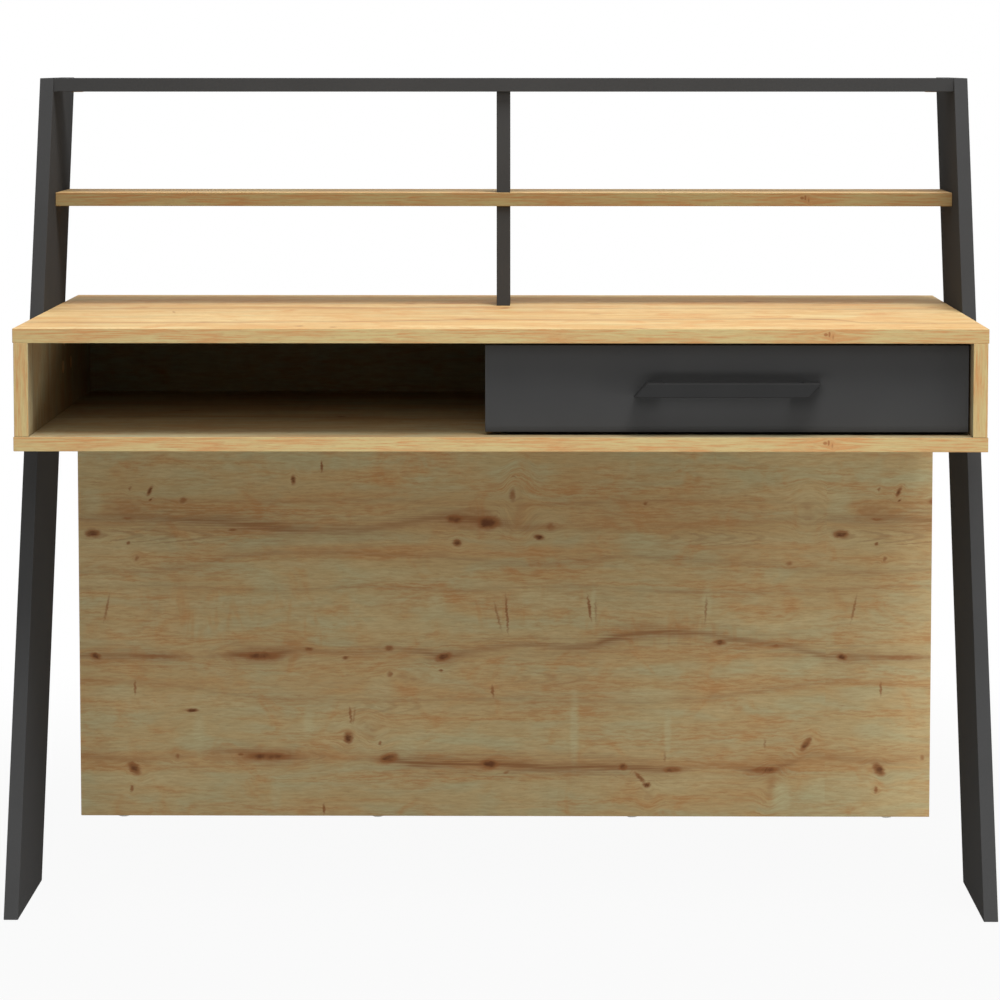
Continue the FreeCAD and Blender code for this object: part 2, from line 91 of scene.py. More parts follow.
def joined(tree, x, y, z):
    node = tree.nodes.new("ShaderNodeCombineXYZ")
    return fill(tree, node, {"X": x, "Y": y, "Z": z}).outputs[0]


def parted(tree, vector):
    node = tree.nodes.new("ShaderNodeSeparateXYZ")
    return fill(tree, node, {"Vector": vector}).outputs


def noise(tree, vector, detail=2.0, roughness=0.5, distortion=0.0):
    node = tree.nodes.new("ShaderNodeTexNoise")
    fill(tree, node, {"Vector": vector, "Scale": 1.0, "Detail": detail, "Roughness": roughness,
                      "Distortion": distortion})
    return node.outputs["Fac"]


def eased(tree, value, start, end, low=0.0, high=1.0):
    """Goes softly from low to high while value goes from start to end."""
    node = tree.nodes.new("ShaderNodeMapRange")
    node.interpolation_type = "SMOOTHSTEP"
    fill(tree, node, {"Value": value, "From Min": start, "From Max": end, "To Min": low,
                      "To Max": high})
    return node.outputs["Result"]


def mixed(tree, share, first, second, blend="MIX"):
    node = tree.nodes.new("ShaderNodeMix")
    node.data_type = "RGBA"
    node.blend_type = blend
    fill(tree, node, {0: share, 6: first, 7: second})
    return node.outputs[2]


def chosen(tree, share, first, second):
    node = tree.nodes.new("ShaderNodeMix")
    fill(tree, node, {0: share, 2: first, 3: second})
    return node.outputs[0]


def curve(tree, value, points):
    """A line drawn through the given points, whose two numbers both go from 0 to 1."""
    node = tree.nodes.new("ShaderNodeFloatCurve")
    line = node.mapping.curves[0]
    line.points[0].location = points[0]
    line.points[1].location = points[-1]
    for point in points[1:-1]:
        line.points.new(*point)
    node.mapping.update()
    fill(tree, node, {"Value": value})
    return node.outputs[0]


def begin_group(name, inputs, outputs):
    tree = bpy.data.node_groups.new(name, "ShaderNodeTree")
    kinds = {"value": "NodeSocketFloat", "vector": "NodeSocketVector", "colour": "NodeSocketColor"}
    for label, kind, start in inputs:
        socket = tree.interface.new_socket(label, in_out="INPUT", socket_type=kinds[kind])
        socket.default_value = start
    for label, kind in outputs:
        tree.interface.new_socket(label, in_out="OUTPUT", socket_type=kinds[kind])
    given = tree.nodes.new("NodeGroupInput").outputs
    return tree, given


def end_group(tree, results):
    fill(tree, tree.nodes.new("NodeGroupOutput"), results)
    return tree


def use(tree, group, inputs):
    node = tree.nodes.new("ShaderNodeGroup")
    node.node_tree = group
    return fill(tree, node, inputs).outputs


# Oak decor

PALE_OAK = tone(222, 197, 144)
HONEY_OAK = tone(206, 168, 112)
WASHED_OAK = tone(199, 192, 148)
PATCH_OAK = tone(208, 202, 156)
ORANGE_OAK = tone(204, 153, 98)
STREAK_BROWN = tone(146, 99, 63)
KNOT_BROWN = tone(156, 102, 62)
KNOT_HEART = tone(104, 64, 40)
PORE_BROWN = tone(160, 118, 78)
TAPE_PALE = tone(199, 180, 128)
TAPE_ORANGE = tone(198, 146, 95)
STRIP_SHADE = (0.98, 0.98, 0.98, 1.0)
# Painted shade: darkens and cools the faces that look into the box, standing in for the shade
# inside it
PAINTED_INNER_SHADE = (0.58, 0.66, 0.78, 1.0)
# Painted shade: the shelf's edge strip is darkened to stand in for the shade on the shelf's front
# edge, which sees the desktop instead of the bright floor
SHELF_STRIP_PAINTED_SHADE = (0.62, 0.62, 0.61, 1.0)

# The print's sheet: where it starts and repeats along the grain, and how tall it is
SHEET_LEFT = -0.600
SHEET_REPEAT = 1.052
SHEET_TALL = 0.722
SHEET_LOW = -0.300
TAPE_REPEAT = 1.075
BOX_FLOOR = 0.600

KNOT_FADE = 6.0
KNOT_BEND = -0.72
KNOT_SHARE = 0.88
CRACK_HALF_WIDTH = 2.8
CRACK_STEP = 0.5 * MM
TONGUE_BOW = 0.9
# Each streak is a wide pale part and a narrow deep one: share of its width, share of its strength
STREAK_PARTS = ((2.4, 0.50), (1.0, 1.0))

OAK_SPECULAR = 0.2
OAK_RELIEF = 0.2 * MM
OAK_RELIEF_STRENGTH = 0.25
RAGGED_ALONG = 5 * MM
RAGGED_ACROSS = 4 * MM
PLAIN_MARKS = 0.3
FACES_THAT_WAY = (0.55, 0.85)
FACES_INWARDS = (0.2, 0.8)
EVERYWHERE = -9.0

# Knots of the edge strips: centre and half size in metres, depth
TAPE_KNOTS = [
    ((0.3995, 0.0020, 0), (0.0022, 0.0016, 1), 0.80),
    ((0.4040, 0.0024, 0), (0.0012, 0.0024, 1), 0.75),
    ((0.4085, -0.0010, 0), (0.0012, 0.0034, 1), 0.45),
    ((0.4030, 0.0005, 0), (0.0110, 0.0040, 1), 0.20),
]

# Noise layers: waves per metre along and across, shift, and how the noise is made
RAGGED_MARKS = (120.0, 260.0, 0.0, {"detail": 2.0})
RAGGED_STREAKS = (14.0, 400.0, 0.0, {"detail": 3.0})
BROKEN_BANDS = (3.0, 60.0, 2.0, {"detail": 3.0})
FACE_LAYERS = {
    "broad": (3.5, 16.0, 0.0, {"detail": 4.0, "distortion": 0.8}),
    "lines": (38.0, 330.0, 3.0, {"detail": 3.0, "roughness": 0.6}),
    "fibre": (60.0, 900.0, 7.0, {"detail": 2.0}),
    "orange": (4.0, 44.0, 11.0, {"detail": 4.0, "roughness": 0.55, "distortion": 0.6}),
    "washed": (7.0, 24.0, 15.0, {"detail": 5.0, "distortion": 1.2}),
    "blotches": (13.0, 19.0, 33.0, {"detail": 5.0, "roughness": 0.6, "distortion": 1.2}),
    "marks": (42.0, 12.0, 19.0, {"detail": 3.0, "distortion": 1.6}),
    "marked": (5.0, 9.0, 23.0, {"detail": 2.0}),
    "speckles": (70.0, 640.0, 29.0, {"detail": 2.0}),
}
FACE_RELIEF = (14.0, 620.0, 7.0, {"detail": 2.0})
TAPE_LAYERS = {
    "streaks": (20.0, 480.0, 5.0, {"detail": 4.0, "roughness": 0.68, "distortion": 0.5}),
    "lines": (42.0, 330.0, 3.0, {"detail": 3.0, "roughness": 0.6}),
    "fibre": (90.0, 700.0, 9.0, {"detail": 2.0}),
    "speckles": (70.0, 240.0, 13.0, {"detail": 2.0, "distortion": 0.8}),
    "zones": (9.0, 70.0, 17.0, {"detail": 2.0}),
}


PRINT_OUTPUTS = [("Color", "colour"), ("Roughness", "value"), ("Height", "value")]


def mark_inputs(*more):
    """The inputs that every mark on the print has, and its own."""
    return [("Place", "vector", (0, 0, 0)), ("Centre", "vector", (0, 0, 0)),
            ("Half Size", "vector", (0.01, 0.01, 1)), *more]


def from_centre(tree, given, leaning=False):
    """A point's offset from a mark's centre, and how many half sizes away it is."""
    offset = vector_maths(tree, "SUBTRACT", given["Place"], given["Centre"])
    level = offset
    if leaning:
        turn = tree.nodes.new("ShaderNodeVectorRotate")
        turn.rotation_type = "Z_AXIS"
        level = fill(tree, turn, {"Vector": offset, "Angle": given["Turn"]}).outputs[0]
    reach = vector_maths(tree, "DIVIDE", level, given["Half Size"])
    return offset, reach, vector_maths(tree, "LENGTH", reach, output=1)


def oak_knot_group(name, leaning):
    """One knot: darkens its place, and bends the grain round itself."""
    tree, given = begin_group(name, mark_inputs(
        ("Turn", "value", 0), ("Depth", "value", 1), ("Dark", "value", 0)),
        [("Place", "vector"), ("Dark", "value")])
    offset, reach, far = from_centre(tree, given, leaning)
    near = eased(tree, far, 4.2, 0.3)
    dark = maths(tree, "MULTIPLY", maths(tree, "POWER", near, KNOT_FADE), given["Depth"])
    shift = joined(tree, 0.0, maths(tree, "MULTIPLY", near, KNOT_BEND), 0.0)
    shift = vector_maths(tree, "MULTIPLY", offset, shift)
    return end_group(tree, {
        "Place": vector_maths(tree, "ADD", given["Place"], shift),
        "Dark": maths(tree, "MAXIMUM", dark, given["Dark"])})


def oak_crack_group():
    """One short crack or saw mark across the grain, which steps the grain a little."""
    tree, given = begin_group("oak crack", mark_inputs(
        ("Turn", "value", 0), ("Depth", "value", 1), ("Dark", "value", 0)),
        [("Place", "vector"), ("Dark", "value")])
    offset, reach, far = from_centre(tree, given, leaning=True)
    dark = maths(tree, "MULTIPLY", eased(tree, far, 1.15, 0.15), given["Depth"])
    step = joined(tree, maths(tree, "MULTIPLY", dark, CRACK_STEP), 0.0, 0.0)
    return end_group(tree, {
        "Place": vector_maths(tree, "ADD", given["Place"], step),
        "Dark": maths(tree, "MAXIMUM", dark, given["Dark"])})


def oak_streak_group():
    """A brown streak that follows a line across the board."""
    tree, given = begin_group("oak streak", [
        ("Across", "value", 0), ("Line", "value", 0), ("Half Width", "value", 0.004),
        ("Strength", "value", 1), ("Ragged", "value", 0), ("Dark", "value", 0)],
        [("Dark", "value")])
    far = maths(tree, "ABSOLUTE", maths(tree, "SUBTRACT", given["Across"], given["Line"]))
    far = maths(tree, "ADD", maths(tree, "DIVIDE", far, given["Half Width"]), given["Ragged"])
    dark = maths(tree, "MULTIPLY", eased(tree, far, 2.4, -0.4), given["Strength"])
    return end_group(tree, {"Dark": maths(tree, "MAXIMUM", dark, given["Dark"])})


def oak_tongue_group():
    """Nested tongues of grain that point along the board."""
    tree, given = begin_group("oak tongue", mark_inputs(
        ("Lines", "value", 3), ("Strength", "value", 0.5), ("Dark", "value", 0)),
        [("Dark", "value")])
    offset, reach, far = from_centre(tree, given)
    inside = eased(tree, far, 1.15, 0.75)
    spread = parted(tree, reach)
    bow = maths(tree, "MULTIPLY", maths(tree, "POWER", spread["Y"], 2.0), TONGUE_BOW)
    phase = maths(tree, "MULTIPLY", maths(tree, "ADD", spread["X"], bow), given["Lines"])
    line = eased(tree, maths(tree, "SINE", maths(tree, "MULTIPLY", phase, math.pi)), -0.1, 1.0)
    line = maths(tree, "MULTIPLY", maths(tree, "MULTIPLY", line, inside), given["Strength"])
    return end_group(tree, {"Dark": maths(tree, "MAXIMUM", line, given["Dark"])})


def oak_patch_group():
    """A pale patch that lies over the grain."""
    tree, given = begin_group("oak patch", mark_inputs(
        ("Depth", "value", 0.5), ("Pale", "value", 0)), [("Pale", "value")])
    offset, reach, far = from_centre(tree, given)
    pale = maths(tree, "MULTIPLY", eased(tree, far, 1.5, 0.4), given["Depth"])
    return end_group(tree, {"Pale": maths(tree, "MAXIMUM", pale, given["Pale"])})


def grain_noise(tree, along, across, sheet, layer):
    """Noise that is drawn out along the grain; layer is one of those above."""
    length, height, shift, how = layer
    u = maths(tree, "MULTIPLY", along, length)
    v = maths(tree, "MULTIPLY", across, height)
    return noise(tree, joined(tree, u, v, maths(tree, "ADD", sheet, shift)), **how)


def oak_face_group():
    """The printed oak of a board's two faces."""
    tree, given = begin_group("oak face print", [
        ("Along", "value", 0), ("Across", "value", 0), ("Bent Across", "value", 0),
        ("Sheet", "value", 0), ("Knots", "value", 0), ("Streaks", "value", 0),
        ("Bands", "value", 0), ("Green Print And Painted Shade", "value", 0), ("Marks", "value", PLAIN_MARKS),
        ("Blotches", "value", 0.8), ("Patches", "value", 0), ("Shade", "colour", WHITE)],
        PRINT_OUTPUTS)
    along, sheet = given["Along"], given["Sheet"]
    layers = {name: grain_noise(tree, along, given["Bent Across"], sheet, layer)
              for name, layer in FACE_LAYERS.items()}
    grained = eased(tree, layers["lines"], 0.36, 0.64)

    colour = mixed(tree, eased(tree, layers["broad"], 0.3, 0.7), HONEY_OAK, PALE_OAK)
    # The greenish print is partly its own mottle and partly painted shade colour: each board
    # shifts it, greener on the shaded back panel, warmer on the lit desktop and shelf
    washed = maths(tree, "MULTIPLY_ADD", eased(tree, layers["washed"], 0.40, 0.66), 0.5,
                   given["Green Print And Painted Shade"])
    colour = mixed(tree, washed, colour, WASHED_OAK)
    orange = maths(tree, "MULTIPLY", eased(tree, layers["orange"], 0.42, 0.70, 0.0, 0.80),
                   eased(tree, grained, 0.0, 1.0, 0.35, 1.0))
    colour = mixed(tree, orange, colour, ORANGE_OAK)
    blotch = maths(tree, "MULTIPLY", eased(tree, layers["blotches"], 0.48, 0.72),
                   eased(tree, grained, 0.0, 1.0, 0.55, 1.0))
    blotch = maths(tree, "MULTIPLY", blotch, given["Blotches"])
    colour = mixed(tree, blotch, colour, ORANGE_OAK)
    colour = mixed(tree, given["Bands"], colour, ORANGE_OAK)
    marks = maths(tree, "MULTIPLY", eased(tree, layers["marks"], 0.50, 0.72, 0.0, 0.6),
                  maths(tree, "MULTIPLY", eased(tree, layers["marked"], 0.45, 0.6),
                        given["Marks"]))
    colour = mixed(tree, marks, colour, ORANGE_OAK)
    colour = mixed(tree, given["Patches"], colour, PATCH_OAK)
    colour = mixed(tree, given["Streaks"], colour, STREAK_BROWN)
    colour = mixed(tree, maths(tree, "MULTIPLY", grained, 0.24), colour, PORE_BROWN)
    colour = mixed(tree, eased(tree, layers["fibre"], 0.48, 0.8, 0.0, 0.35), colour, PORE_BROWN)
    speckled = maths(tree, "MULTIPLY_ADD", layers["speckles"], 1.1, 0.42)
    knots = maths(tree, "MULTIPLY", given["Knots"], speckled)
    colour = mixed(tree, eased(tree, knots, 0.03, 0.6, 0.0, 0.8), colour, KNOT_BROWN)
    colour = mixed(tree, eased(tree, knots, 0.5, 1.1), colour, KNOT_HEART)
    relief = grain_noise(tree, along, given["Across"], sheet, FACE_RELIEF)
    return end_group(tree, {
        # Shade multiplies in the painted shade of faces that look into the box
        "Color": mixed(tree, 1.0, colour, given["Shade"], "MULTIPLY"),
        "Roughness": maths(tree, "MULTIPLY_ADD", layers["fibre"], 0.16, 0.58),
        "Height": maths(tree, "MULTIPLY", relief, -1.0)})


def oak_edge_group():
    """The printed oak of the edge strips, whose knots come again along the board."""
    tree, given = begin_group("oak edge print", [
        ("Along", "value", 0), ("Across", "value", 0), ("Sheet", "value", 0),
        ("Shade", "colour", WHITE)],
        PRINT_OUTPUTS)
    along = given["Along"]
    share = maths(tree, "DIVIDE", maths(tree, "SUBTRACT", along, SHEET_LEFT), TAPE_REPEAT)
    share = maths(tree, "FRACT", share)
    spot = joined(tree, maths(tree, "MULTIPLY_ADD", share, TAPE_REPEAT, SHEET_LEFT),
                  given["Across"], 0.0)
    dark = 0.0
    for centre, half_size, depth in TAPE_KNOTS:
        knot = use(tree, OAK_KNOT, {"Place": spot, "Centre": centre, "Half Size": half_size,
                                    "Depth": depth, "Dark": dark})
        spot, dark = knot["Place"], knot["Dark"]
    layers = {name: grain_noise(tree, along, parted(tree, spot)["Y"], given["Sheet"], layer)
              for name, layer in TAPE_LAYERS.items()}
    zone = eased(tree, layers["zones"], 0.3, 0.7, 0.05, 0.70)
    orange = maths(tree, "MULTIPLY_ADD", maths(tree, "SUBTRACT", layers["streaks"], 0.5), 3.6,
                   zone)
    colour = mixed(tree, eased(tree, orange, -0.1, 1.1), TAPE_PALE, TAPE_ORANGE)
    colour = mixed(tree, eased(tree, layers["lines"], 0.46, 0.70, 0.0, 0.16), colour, PORE_BROWN)
    colour = mixed(tree, eased(tree, layers["fibre"], 0.50, 0.8, 0.0, 0.28), colour, PORE_BROWN)
    knots = maths(tree, "MULTIPLY", dark,
                  maths(tree, "MULTIPLY_ADD", layers["speckles"], 1.6, 0.2))
    colour = mixed(tree, eased(tree, knots, 0.05, 0.7, 0.0, 0.85), colour, KNOT_BROWN)
    return end_group(tree, {
        # Shade multiplies the strip: a slight tone on most boards, painted shade on the shelf's
        # edge
        "Color": mixed(tree, 1.0, colour, given["Shade"], "MULTIPLY"),
        "Roughness": maths(tree, "MULTIPLY_ADD", layers["fibre"], 0.14, 0.6),
        "Height": maths(tree, "MULTIPLY", layers["fibre"], -0.5)})


def finish_group():
    """A plain finish whose tone and gloss change a little over the surface."""
    tree, given = begin_group("plain finish", [
        ("Place", "vector", (0, 0, 0)), ("Coarse Scale", "value", 20),
        ("Fine Scale", "value", 900), ("Light", "colour", WHITE), ("Deep", "colour", BLACK),
        ("Smooth", "value", 0.4), ("Rough", "value", 0.6)],
        PRINT_OUTPUTS)
    scaled = []
    for scale in ("Coarse Scale", "Fine Scale"):
        vector = vector_maths(tree, "SCALE", given["Place"])
        tree.links.new(given[scale], vector.node.inputs["Scale"])
        scaled.append(vector)
    cloud = noise(tree, scaled[0], detail=3.0)
    speck = noise(tree, scaled[1], detail=1.0)
    share = maths(tree, "MULTIPLY_ADD", speck, 0.7, maths(tree, "MULTIPLY", cloud, 0.3))
    share = eased(tree, share, 0.3, 0.7)
    return end_group(tree, {
        "Color": mixed(tree, share, given["Deep"], given["Light"]),
        "Roughness": chosen(tree, share, given["Smooth"], given["Rough"]),
        "Height": speck})


OAK_KNOT = oak_knot_group("oak knot", False)
OAK_LEANING_KNOT = oak_knot_group("oak leaning knot", True)
OAK_CRACK = oak_crack_group()
OAK_STREAK = oak_streak_group()
OAK_TONGUE = oak_tongue_group()
OAK_PATCH = oak_patch_group()
OAK_FACE = oak_face_group()
OAK_EDGE = oak_edge_group()
PLAIN_FINISH = finish_group()


# Marks are placed along and across in metres; half lengths and half heights are in mm.
# Knots of the back panel: along, across, half length, half height, depth, turn in degrees
PANEL_KNOTS = [
    (-0.580, 0.405, 9.8, 5.3, 0.95, 0), (-0.499, 0.465, 2.6, 6.3, 0.95, -25),
    (-0.498, 0.454, 2.3, 2.1, 0.90, 0), (-0.527, 0.468, 2.1, 3.5, 0.45, -20),
    (-0.452, 0.452, 5.6, 4.2, 0.55, 30), (-0.297, 0.481, 3.2, 6.0, 0.95, 0),
    (-0.530, 0.426, 8.4, 2.4, 0.50, 0), (-0.530, 0.391, 2.4, 1.9, 0.75, 0),
    (-0.383, 0.410, 5.6, 2.0, 0.65, 0), (-0.518, 0.370, 2.6, 4.0, 0.45, 0),
    (-0.070, 0.426, 13.0, 6.0, 0.80, 0), (-0.024, 0.421, 15.0, 9.6, 0.95, 0),
    (-0.067, 0.392, 5.6, 5.0, 0.90, 0), (0.011, 0.460, 4.6, 9.0, 0.60, 0),
    (0.048, 0.400, 7.0, 3.4, 0.95, -10), (0.065, 0.415, 6.2, 5.4, 0.50, 0),
    (0.198, 0.448, 2.6, 2.6, 0.55, 0), (0.013, 0.483, 4.2, 2.1, 0.45, 0),
    (-0.577, 0.230, 7.0, 4.2, 0.95, -15), (-0.488, 0.230, 42.0, 4.0, 0.45, 0),
    (-0.344, 0.231, 28.0, 5.6, 0.85, 0), (-0.276, 0.240, 5.6, 2.6, 0.85, 0),
    (-0.225, 0.228, 4.6, 2.6, 0.75, 20), (-0.442, 0.153, 8.6, 2.4, 0.98, 0),
    (-0.221, 0.114, 6.0, 7.8, 0.95, 0), (-0.524, 0.070, 6.0, 10.0, 0.95, 40),
    (-0.528, 0.041, 2.6, 4.6, 0.65, 0), (-0.463, 0.087, 3.0, 4.2, 0.55, 0),
    (-0.373, 0.090, 4.6, 2.2, 0.75, 0), (-0.336, 0.087, 33.0, 5.6, 0.80, 0),
    (-0.163, 0.242, 6.0, 3.8, 0.75, 0), (-0.086, 0.230, 10.5, 5.4, 0.95, 15),
    (-0.090, 0.211, 3.0, 2.0, 0.85, 0), (-0.162, 0.205, 4.2, 3.8, 0.62, 0),
    (-0.164, 0.085, 12.0, 6.0, 0.95, 10), (-0.176, 0.106, 2.3, 3.4, 0.62, 0),
    (-0.022, 0.077, 12.0, 6.0, 0.98, 0), (0.002, 0.066, 4.2, 2.4, 0.50, 0),
    (0.167, 0.073, 5.8, 4.8, 0.80, 0), (0.200, 0.047, 5.4, 3.2, 0.98, 0),
    (0.191, 0.057, 2.6, 10.6, 0.75, 40), (0.236, 0.069, 12.0, 3.8, 0.85, 0),
    (0.368, 0.069, 17.0, 4.8, 0.80, 0), (0.425, 0.106, 4.4, 10.6, 0.85, -35),
    (0.303, 0.251, 8.0, 3.8, 0.90, 0), (0.381, 0.246, 7.0, 2.2, 0.55, 0),
    (0.400, 0.363, 4.6, 3.0, 0.45, 0), (-0.536, 0.438, 30.0, 9.0, 0.26, 0),
    (-0.050, 0.426, 44.0, 13.0, 0.26, 0), (-0.336, 0.088, 52.0, 11.0, 0.24, 0),
    (-0.344, 0.234, 36.0, 10.0, 0.24, 0), (0.427, 0.438, 12.0, 16.0, 0.24, 0),
    (0.376, 0.045, 7.0, 14.0, 0.24, -10), (0.203, 0.034, 7.0, 10.0, 0.22, 0),
    (-0.190, 0.128, 9.0, 14.0, 0.22, 35), (-0.140, 0.198, 22.0, 8.0, 0.20, 0),
    (0.020, 0.448, 9.0, 22.0, 0.20, 0),
]
# Pale patches of the back panel: along, across, half length, half height, depth
PANEL_PATCHES = [
    (-0.388, 0.501, 8, 7, 0.5), (0.179, 0.500, 5, 9, 0.5), (0.151, 0.493, 28, 4, 0.4),
    (-0.583, 0.448, 16, 16, 0.6), (0.191, 0.402, 30, 5, 0.4), (-0.353, 0.341, 24, 11, 0.5),
    (-0.169, 0.348, 45, 8, 0.4), (0.056, 0.311, 40, 16, 0.45), (0.125, 0.301, 4, 30, 0.6),
    (0.285, 0.309, 7, 24, 0.5), (-0.096, 0.304, 12, 20, 0.5), (-0.213, 0.298, 8, 22, 0.35),
    (0.432, 0.227, 15, 12, 0.55), (-0.175, 0.183, 22, 14, 0.45), (-0.550, 0.177, 36, 10, 0.45),
    (0.200, 0.175, 48, 14, 0.55), (-0.277, 0.138, 7, 26, 0.45), (-0.432, 0.120, 9, 26, 0.45),
    (0.098, 0.124, 6, 52, 0.60), (0.230, 0.122, 5, 34, 0.60), (-0.140, 0.097, 15, 13, 0.60),
    (0.391, 0.031, 12, 24, 0.70), (-0.324, 0.031, 8, 20, 0.40), (0.452, 0.040, 30, 18, 0.45),
]
# Cracks of the back panel: along, across, half length, depth, lean in degrees
PANEL_CRACKS = [
    (-0.257, 0.500, 11.3, 0.80, 0), (0.003, 0.291, 37.0, 0.65, 4), (-0.010, 0.288, 30.0, 0.45, 14),
    (0.119, 0.300, 25.0, 0.70, 8), (0.128, 0.297, 25.6, 0.35, 2), (0.283, 0.297, 28.5, 0.45, -3),
    (-0.561, 0.299, 29.0, 0.50, -12), (-0.522, 0.185, 14.3, 0.60, 0),
    (-0.017, 0.181, 12.9, 0.60, 6), (-0.218, 0.144, 18.7, 0.60, 6),
    (-0.213, 0.141, 18.8, 0.35, -9), (0.367, 0.106, 11.4, 0.40, 0),
    (-0.256, 0.012, 10.8, 0.70, 0), (0.226, 0.087, 12.9, 0.35, 0),
]
# Streaks of the back panel: half width in mm, strength, points along and across in metres.
# The points of the first three also say how deep the streak is there
PANEL_STREAKS = [
    (6.5, 0.90, [
        (-0.600, 0.425, 0.45), (-0.499, 0.427, 0.70), (-0.429, 0.424, 0.95),
        (-0.358, 0.417, 0.95), (-0.302, 0.411, 0.80), (-0.246, 0.410, 0.60),
        (-0.196, 0.411, 0.60), (-0.147, 0.419, 0.65), (-0.091, 0.427, 0.80),
        (-0.049, 0.426, 0.95), (-0.007, 0.419, 0.70), (0.078, 0.413, 0.35),
        (0.190, 0.413, 0.22), (0.302, 0.419, 0.20), (0.401, 0.425, 0.30),
        (0.452, 0.425, 0.45)]),
    (5.0, 0.95, [
        (-0.600, 0.231, 0.70), (-0.501, 0.230, 0.60), (-0.430, 0.229, 0.25),
        (-0.381, 0.233, 0.85), (-0.344, 0.231, 1.00), (-0.289, 0.239, 0.55),
        (-0.225, 0.235, 0.45), (-0.162, 0.239, 0.45), (-0.120, 0.237, 0.70),
        (-0.086, 0.231, 0.85), (-0.035, 0.241, 0.50), (0.021, 0.247, 0.60),
        (0.123, 0.246, 0.70), (0.141, 0.253, 0.95), (0.190, 0.263, 0.95),
        (0.275, 0.264, 0.85), (0.331, 0.254, 0.75), (0.388, 0.247, 0.65),
        (0.452, 0.231, 0.70)]),
    (4.8, 0.95, [
        (-0.600, 0.088, 0.40), (-0.544, 0.084, 0.45), (-0.502, 0.082, 0.30),
        (-0.464, 0.087, 0.20), (-0.388, 0.093, 0.55), (-0.332, 0.088, 0.85),
        (-0.290, 0.085, 0.55), (-0.233, 0.086, 0.15), (-0.165, 0.082, 0.80),
        (-0.106, 0.078, 1.00), (-0.019, 0.077, 1.00), (0.078, 0.071, 0.95),
        (0.163, 0.073, 0.95), (0.236, 0.069, 0.80), (0.290, 0.076, 0.35),
        (0.360, 0.069, 0.85), (0.403, 0.078, 0.60), (0.425, 0.089, 0.40),
        (0.452, 0.088, 0.40)]),
    (3.2, 0.32, [(-0.600, 0.352), (-0.450, 0.356), (-0.380, 0.372), (-0.250, 0.378),
                 (-0.100, 0.372), (0.040, 0.362), (0.160, 0.372), (0.300, 0.366),
                 (0.452, 0.352)]),
    (2.4, 0.26, [(-0.600, 0.326), (-0.500, 0.330), (-0.330, 0.324), (-0.200, 0.330),
                 (-0.060, 0.325), (0.100, 0.331), (0.240, 0.323), (0.452, 0.326)]),
    (2.4, 0.26, [(-0.600, 0.196), (-0.480, 0.190), (-0.350, 0.172), (-0.200, 0.168),
                 (0.000, 0.170), (0.200, 0.166), (0.452, 0.196)]),
    (2.2, 0.24, [(-0.600, 0.448), (-0.400, 0.450), (-0.300, 0.450), (-0.180, 0.452),
                 (0.000, 0.446), (0.240, 0.452), (0.452, 0.448)]),
]
# Tongues of the back panel: along, across, half length, half height, lines, strength
PANEL_TONGUES = [
    (-0.480, 0.402, 112, 13, 4.5, 0.36), (-0.290, 0.087, 46, 8, 3.5, 0.34),
    (0.310, 0.400, 90, 12, 4.5, 0.28), (-0.165, 0.160, 60, 14, 3.5, 0.22),
    (0.060, 0.200, 70, 12, 3.5, 0.20),
]
# Knots, cracks and streaks of the desktop, the box's sides and the other boards
TOP_KNOTS = [
    (-0.373, -0.175, 14.0, 5.0, 0.45, 0), (-0.249, -0.234, 5.0, 3.4, 0.90, 10),
    (-0.207, -0.248, 4.4, 4.0, 0.95, 20), (-0.070, 0.134, 26.0, 8.0, 0.60, 0),
    (-0.126, 0.120, 8.0, 5.0, 0.65, 0), (-0.034, -0.127, 22.0, 5.0, 0.70, 0),
    (-0.215, 0.049, 38.0, 5.0, 0.55, 0), (0.003, 0.049, 7.0, 12.0, 0.55, -15),
    (0.121, -0.048, 9.0, 5.0, 0.60, 0), (0.171, -0.262, 10.0, 4.0, 0.75, -12),
    (0.254, -0.110, 10.0, 4.0, 0.45, 0), (0.340, 0.170, 12.0, 6.0, 0.60, 0),
    (0.426, 0.103, 12.0, 4.0, 0.62, -8), (0.400, -0.130, 30.0, 6.0, 0.50, 0),
    (-0.480, 0.060, 8.0, 5.0, 0.50, 0), (0.120, 0.190, 12.0, 5.0, 0.55, 0),
]
TOP_CRACKS = [(-0.430, -0.020, 22.0, 0.45, 12), (0.520, 0.040, 24.0, 0.40, -10)]
TOP_STREAKS = [
    (5.0, 0.62, [(-0.600, -0.180), (-0.450, -0.186), (-0.300, -0.176), (-0.150, -0.160),
                 (0.000, -0.130), (0.120, -0.140), (0.280, -0.128), (0.400, -0.126),
                 (0.452, -0.180)]),
    (4.0, 0.55, [(-0.600, 0.030), (-0.420, 0.040), (-0.300, 0.052), (-0.180, 0.048),
                 (-0.020, 0.060), (0.120, 0.044), (0.280, 0.050), (0.452, 0.030)]),
    (4.0, 0.50, [(-0.600, 0.130), (-0.400, 0.142), (-0.200, 0.128), (-0.060, 0.134),
                 (0.100, 0.150), (0.300, 0.160), (0.452, 0.130)]),
]
SIDE_STREAKS = [
    (4.0, 0.60, [(-0.600, -0.236), (-0.500, -0.238), (-0.430, -0.232), (-0.330, -0.236),
                 (0.452, -0.236)]),
    (3.0, 0.45, [(-0.600, -0.110), (-0.450, -0.118), (-0.330, -0.108), (0.452, -0.110)]),
]
PLAIN_KNOTS = [
    (-0.420, 0.020, 9.0, 4.0, 0.75, 10), (-0.210, -0.050, 6.0, 3.6, 0.85, 0),
    (-0.050, 0.090, 20.0, 5.0, 0.55, 0), (0.090, -0.130, 8.0, 4.0, 0.80, -10),
    (0.230, 0.040, 11.0, 5.0, 0.65, 0), (0.380, -0.010, 5.0, 5.0, 0.90, 0),
]
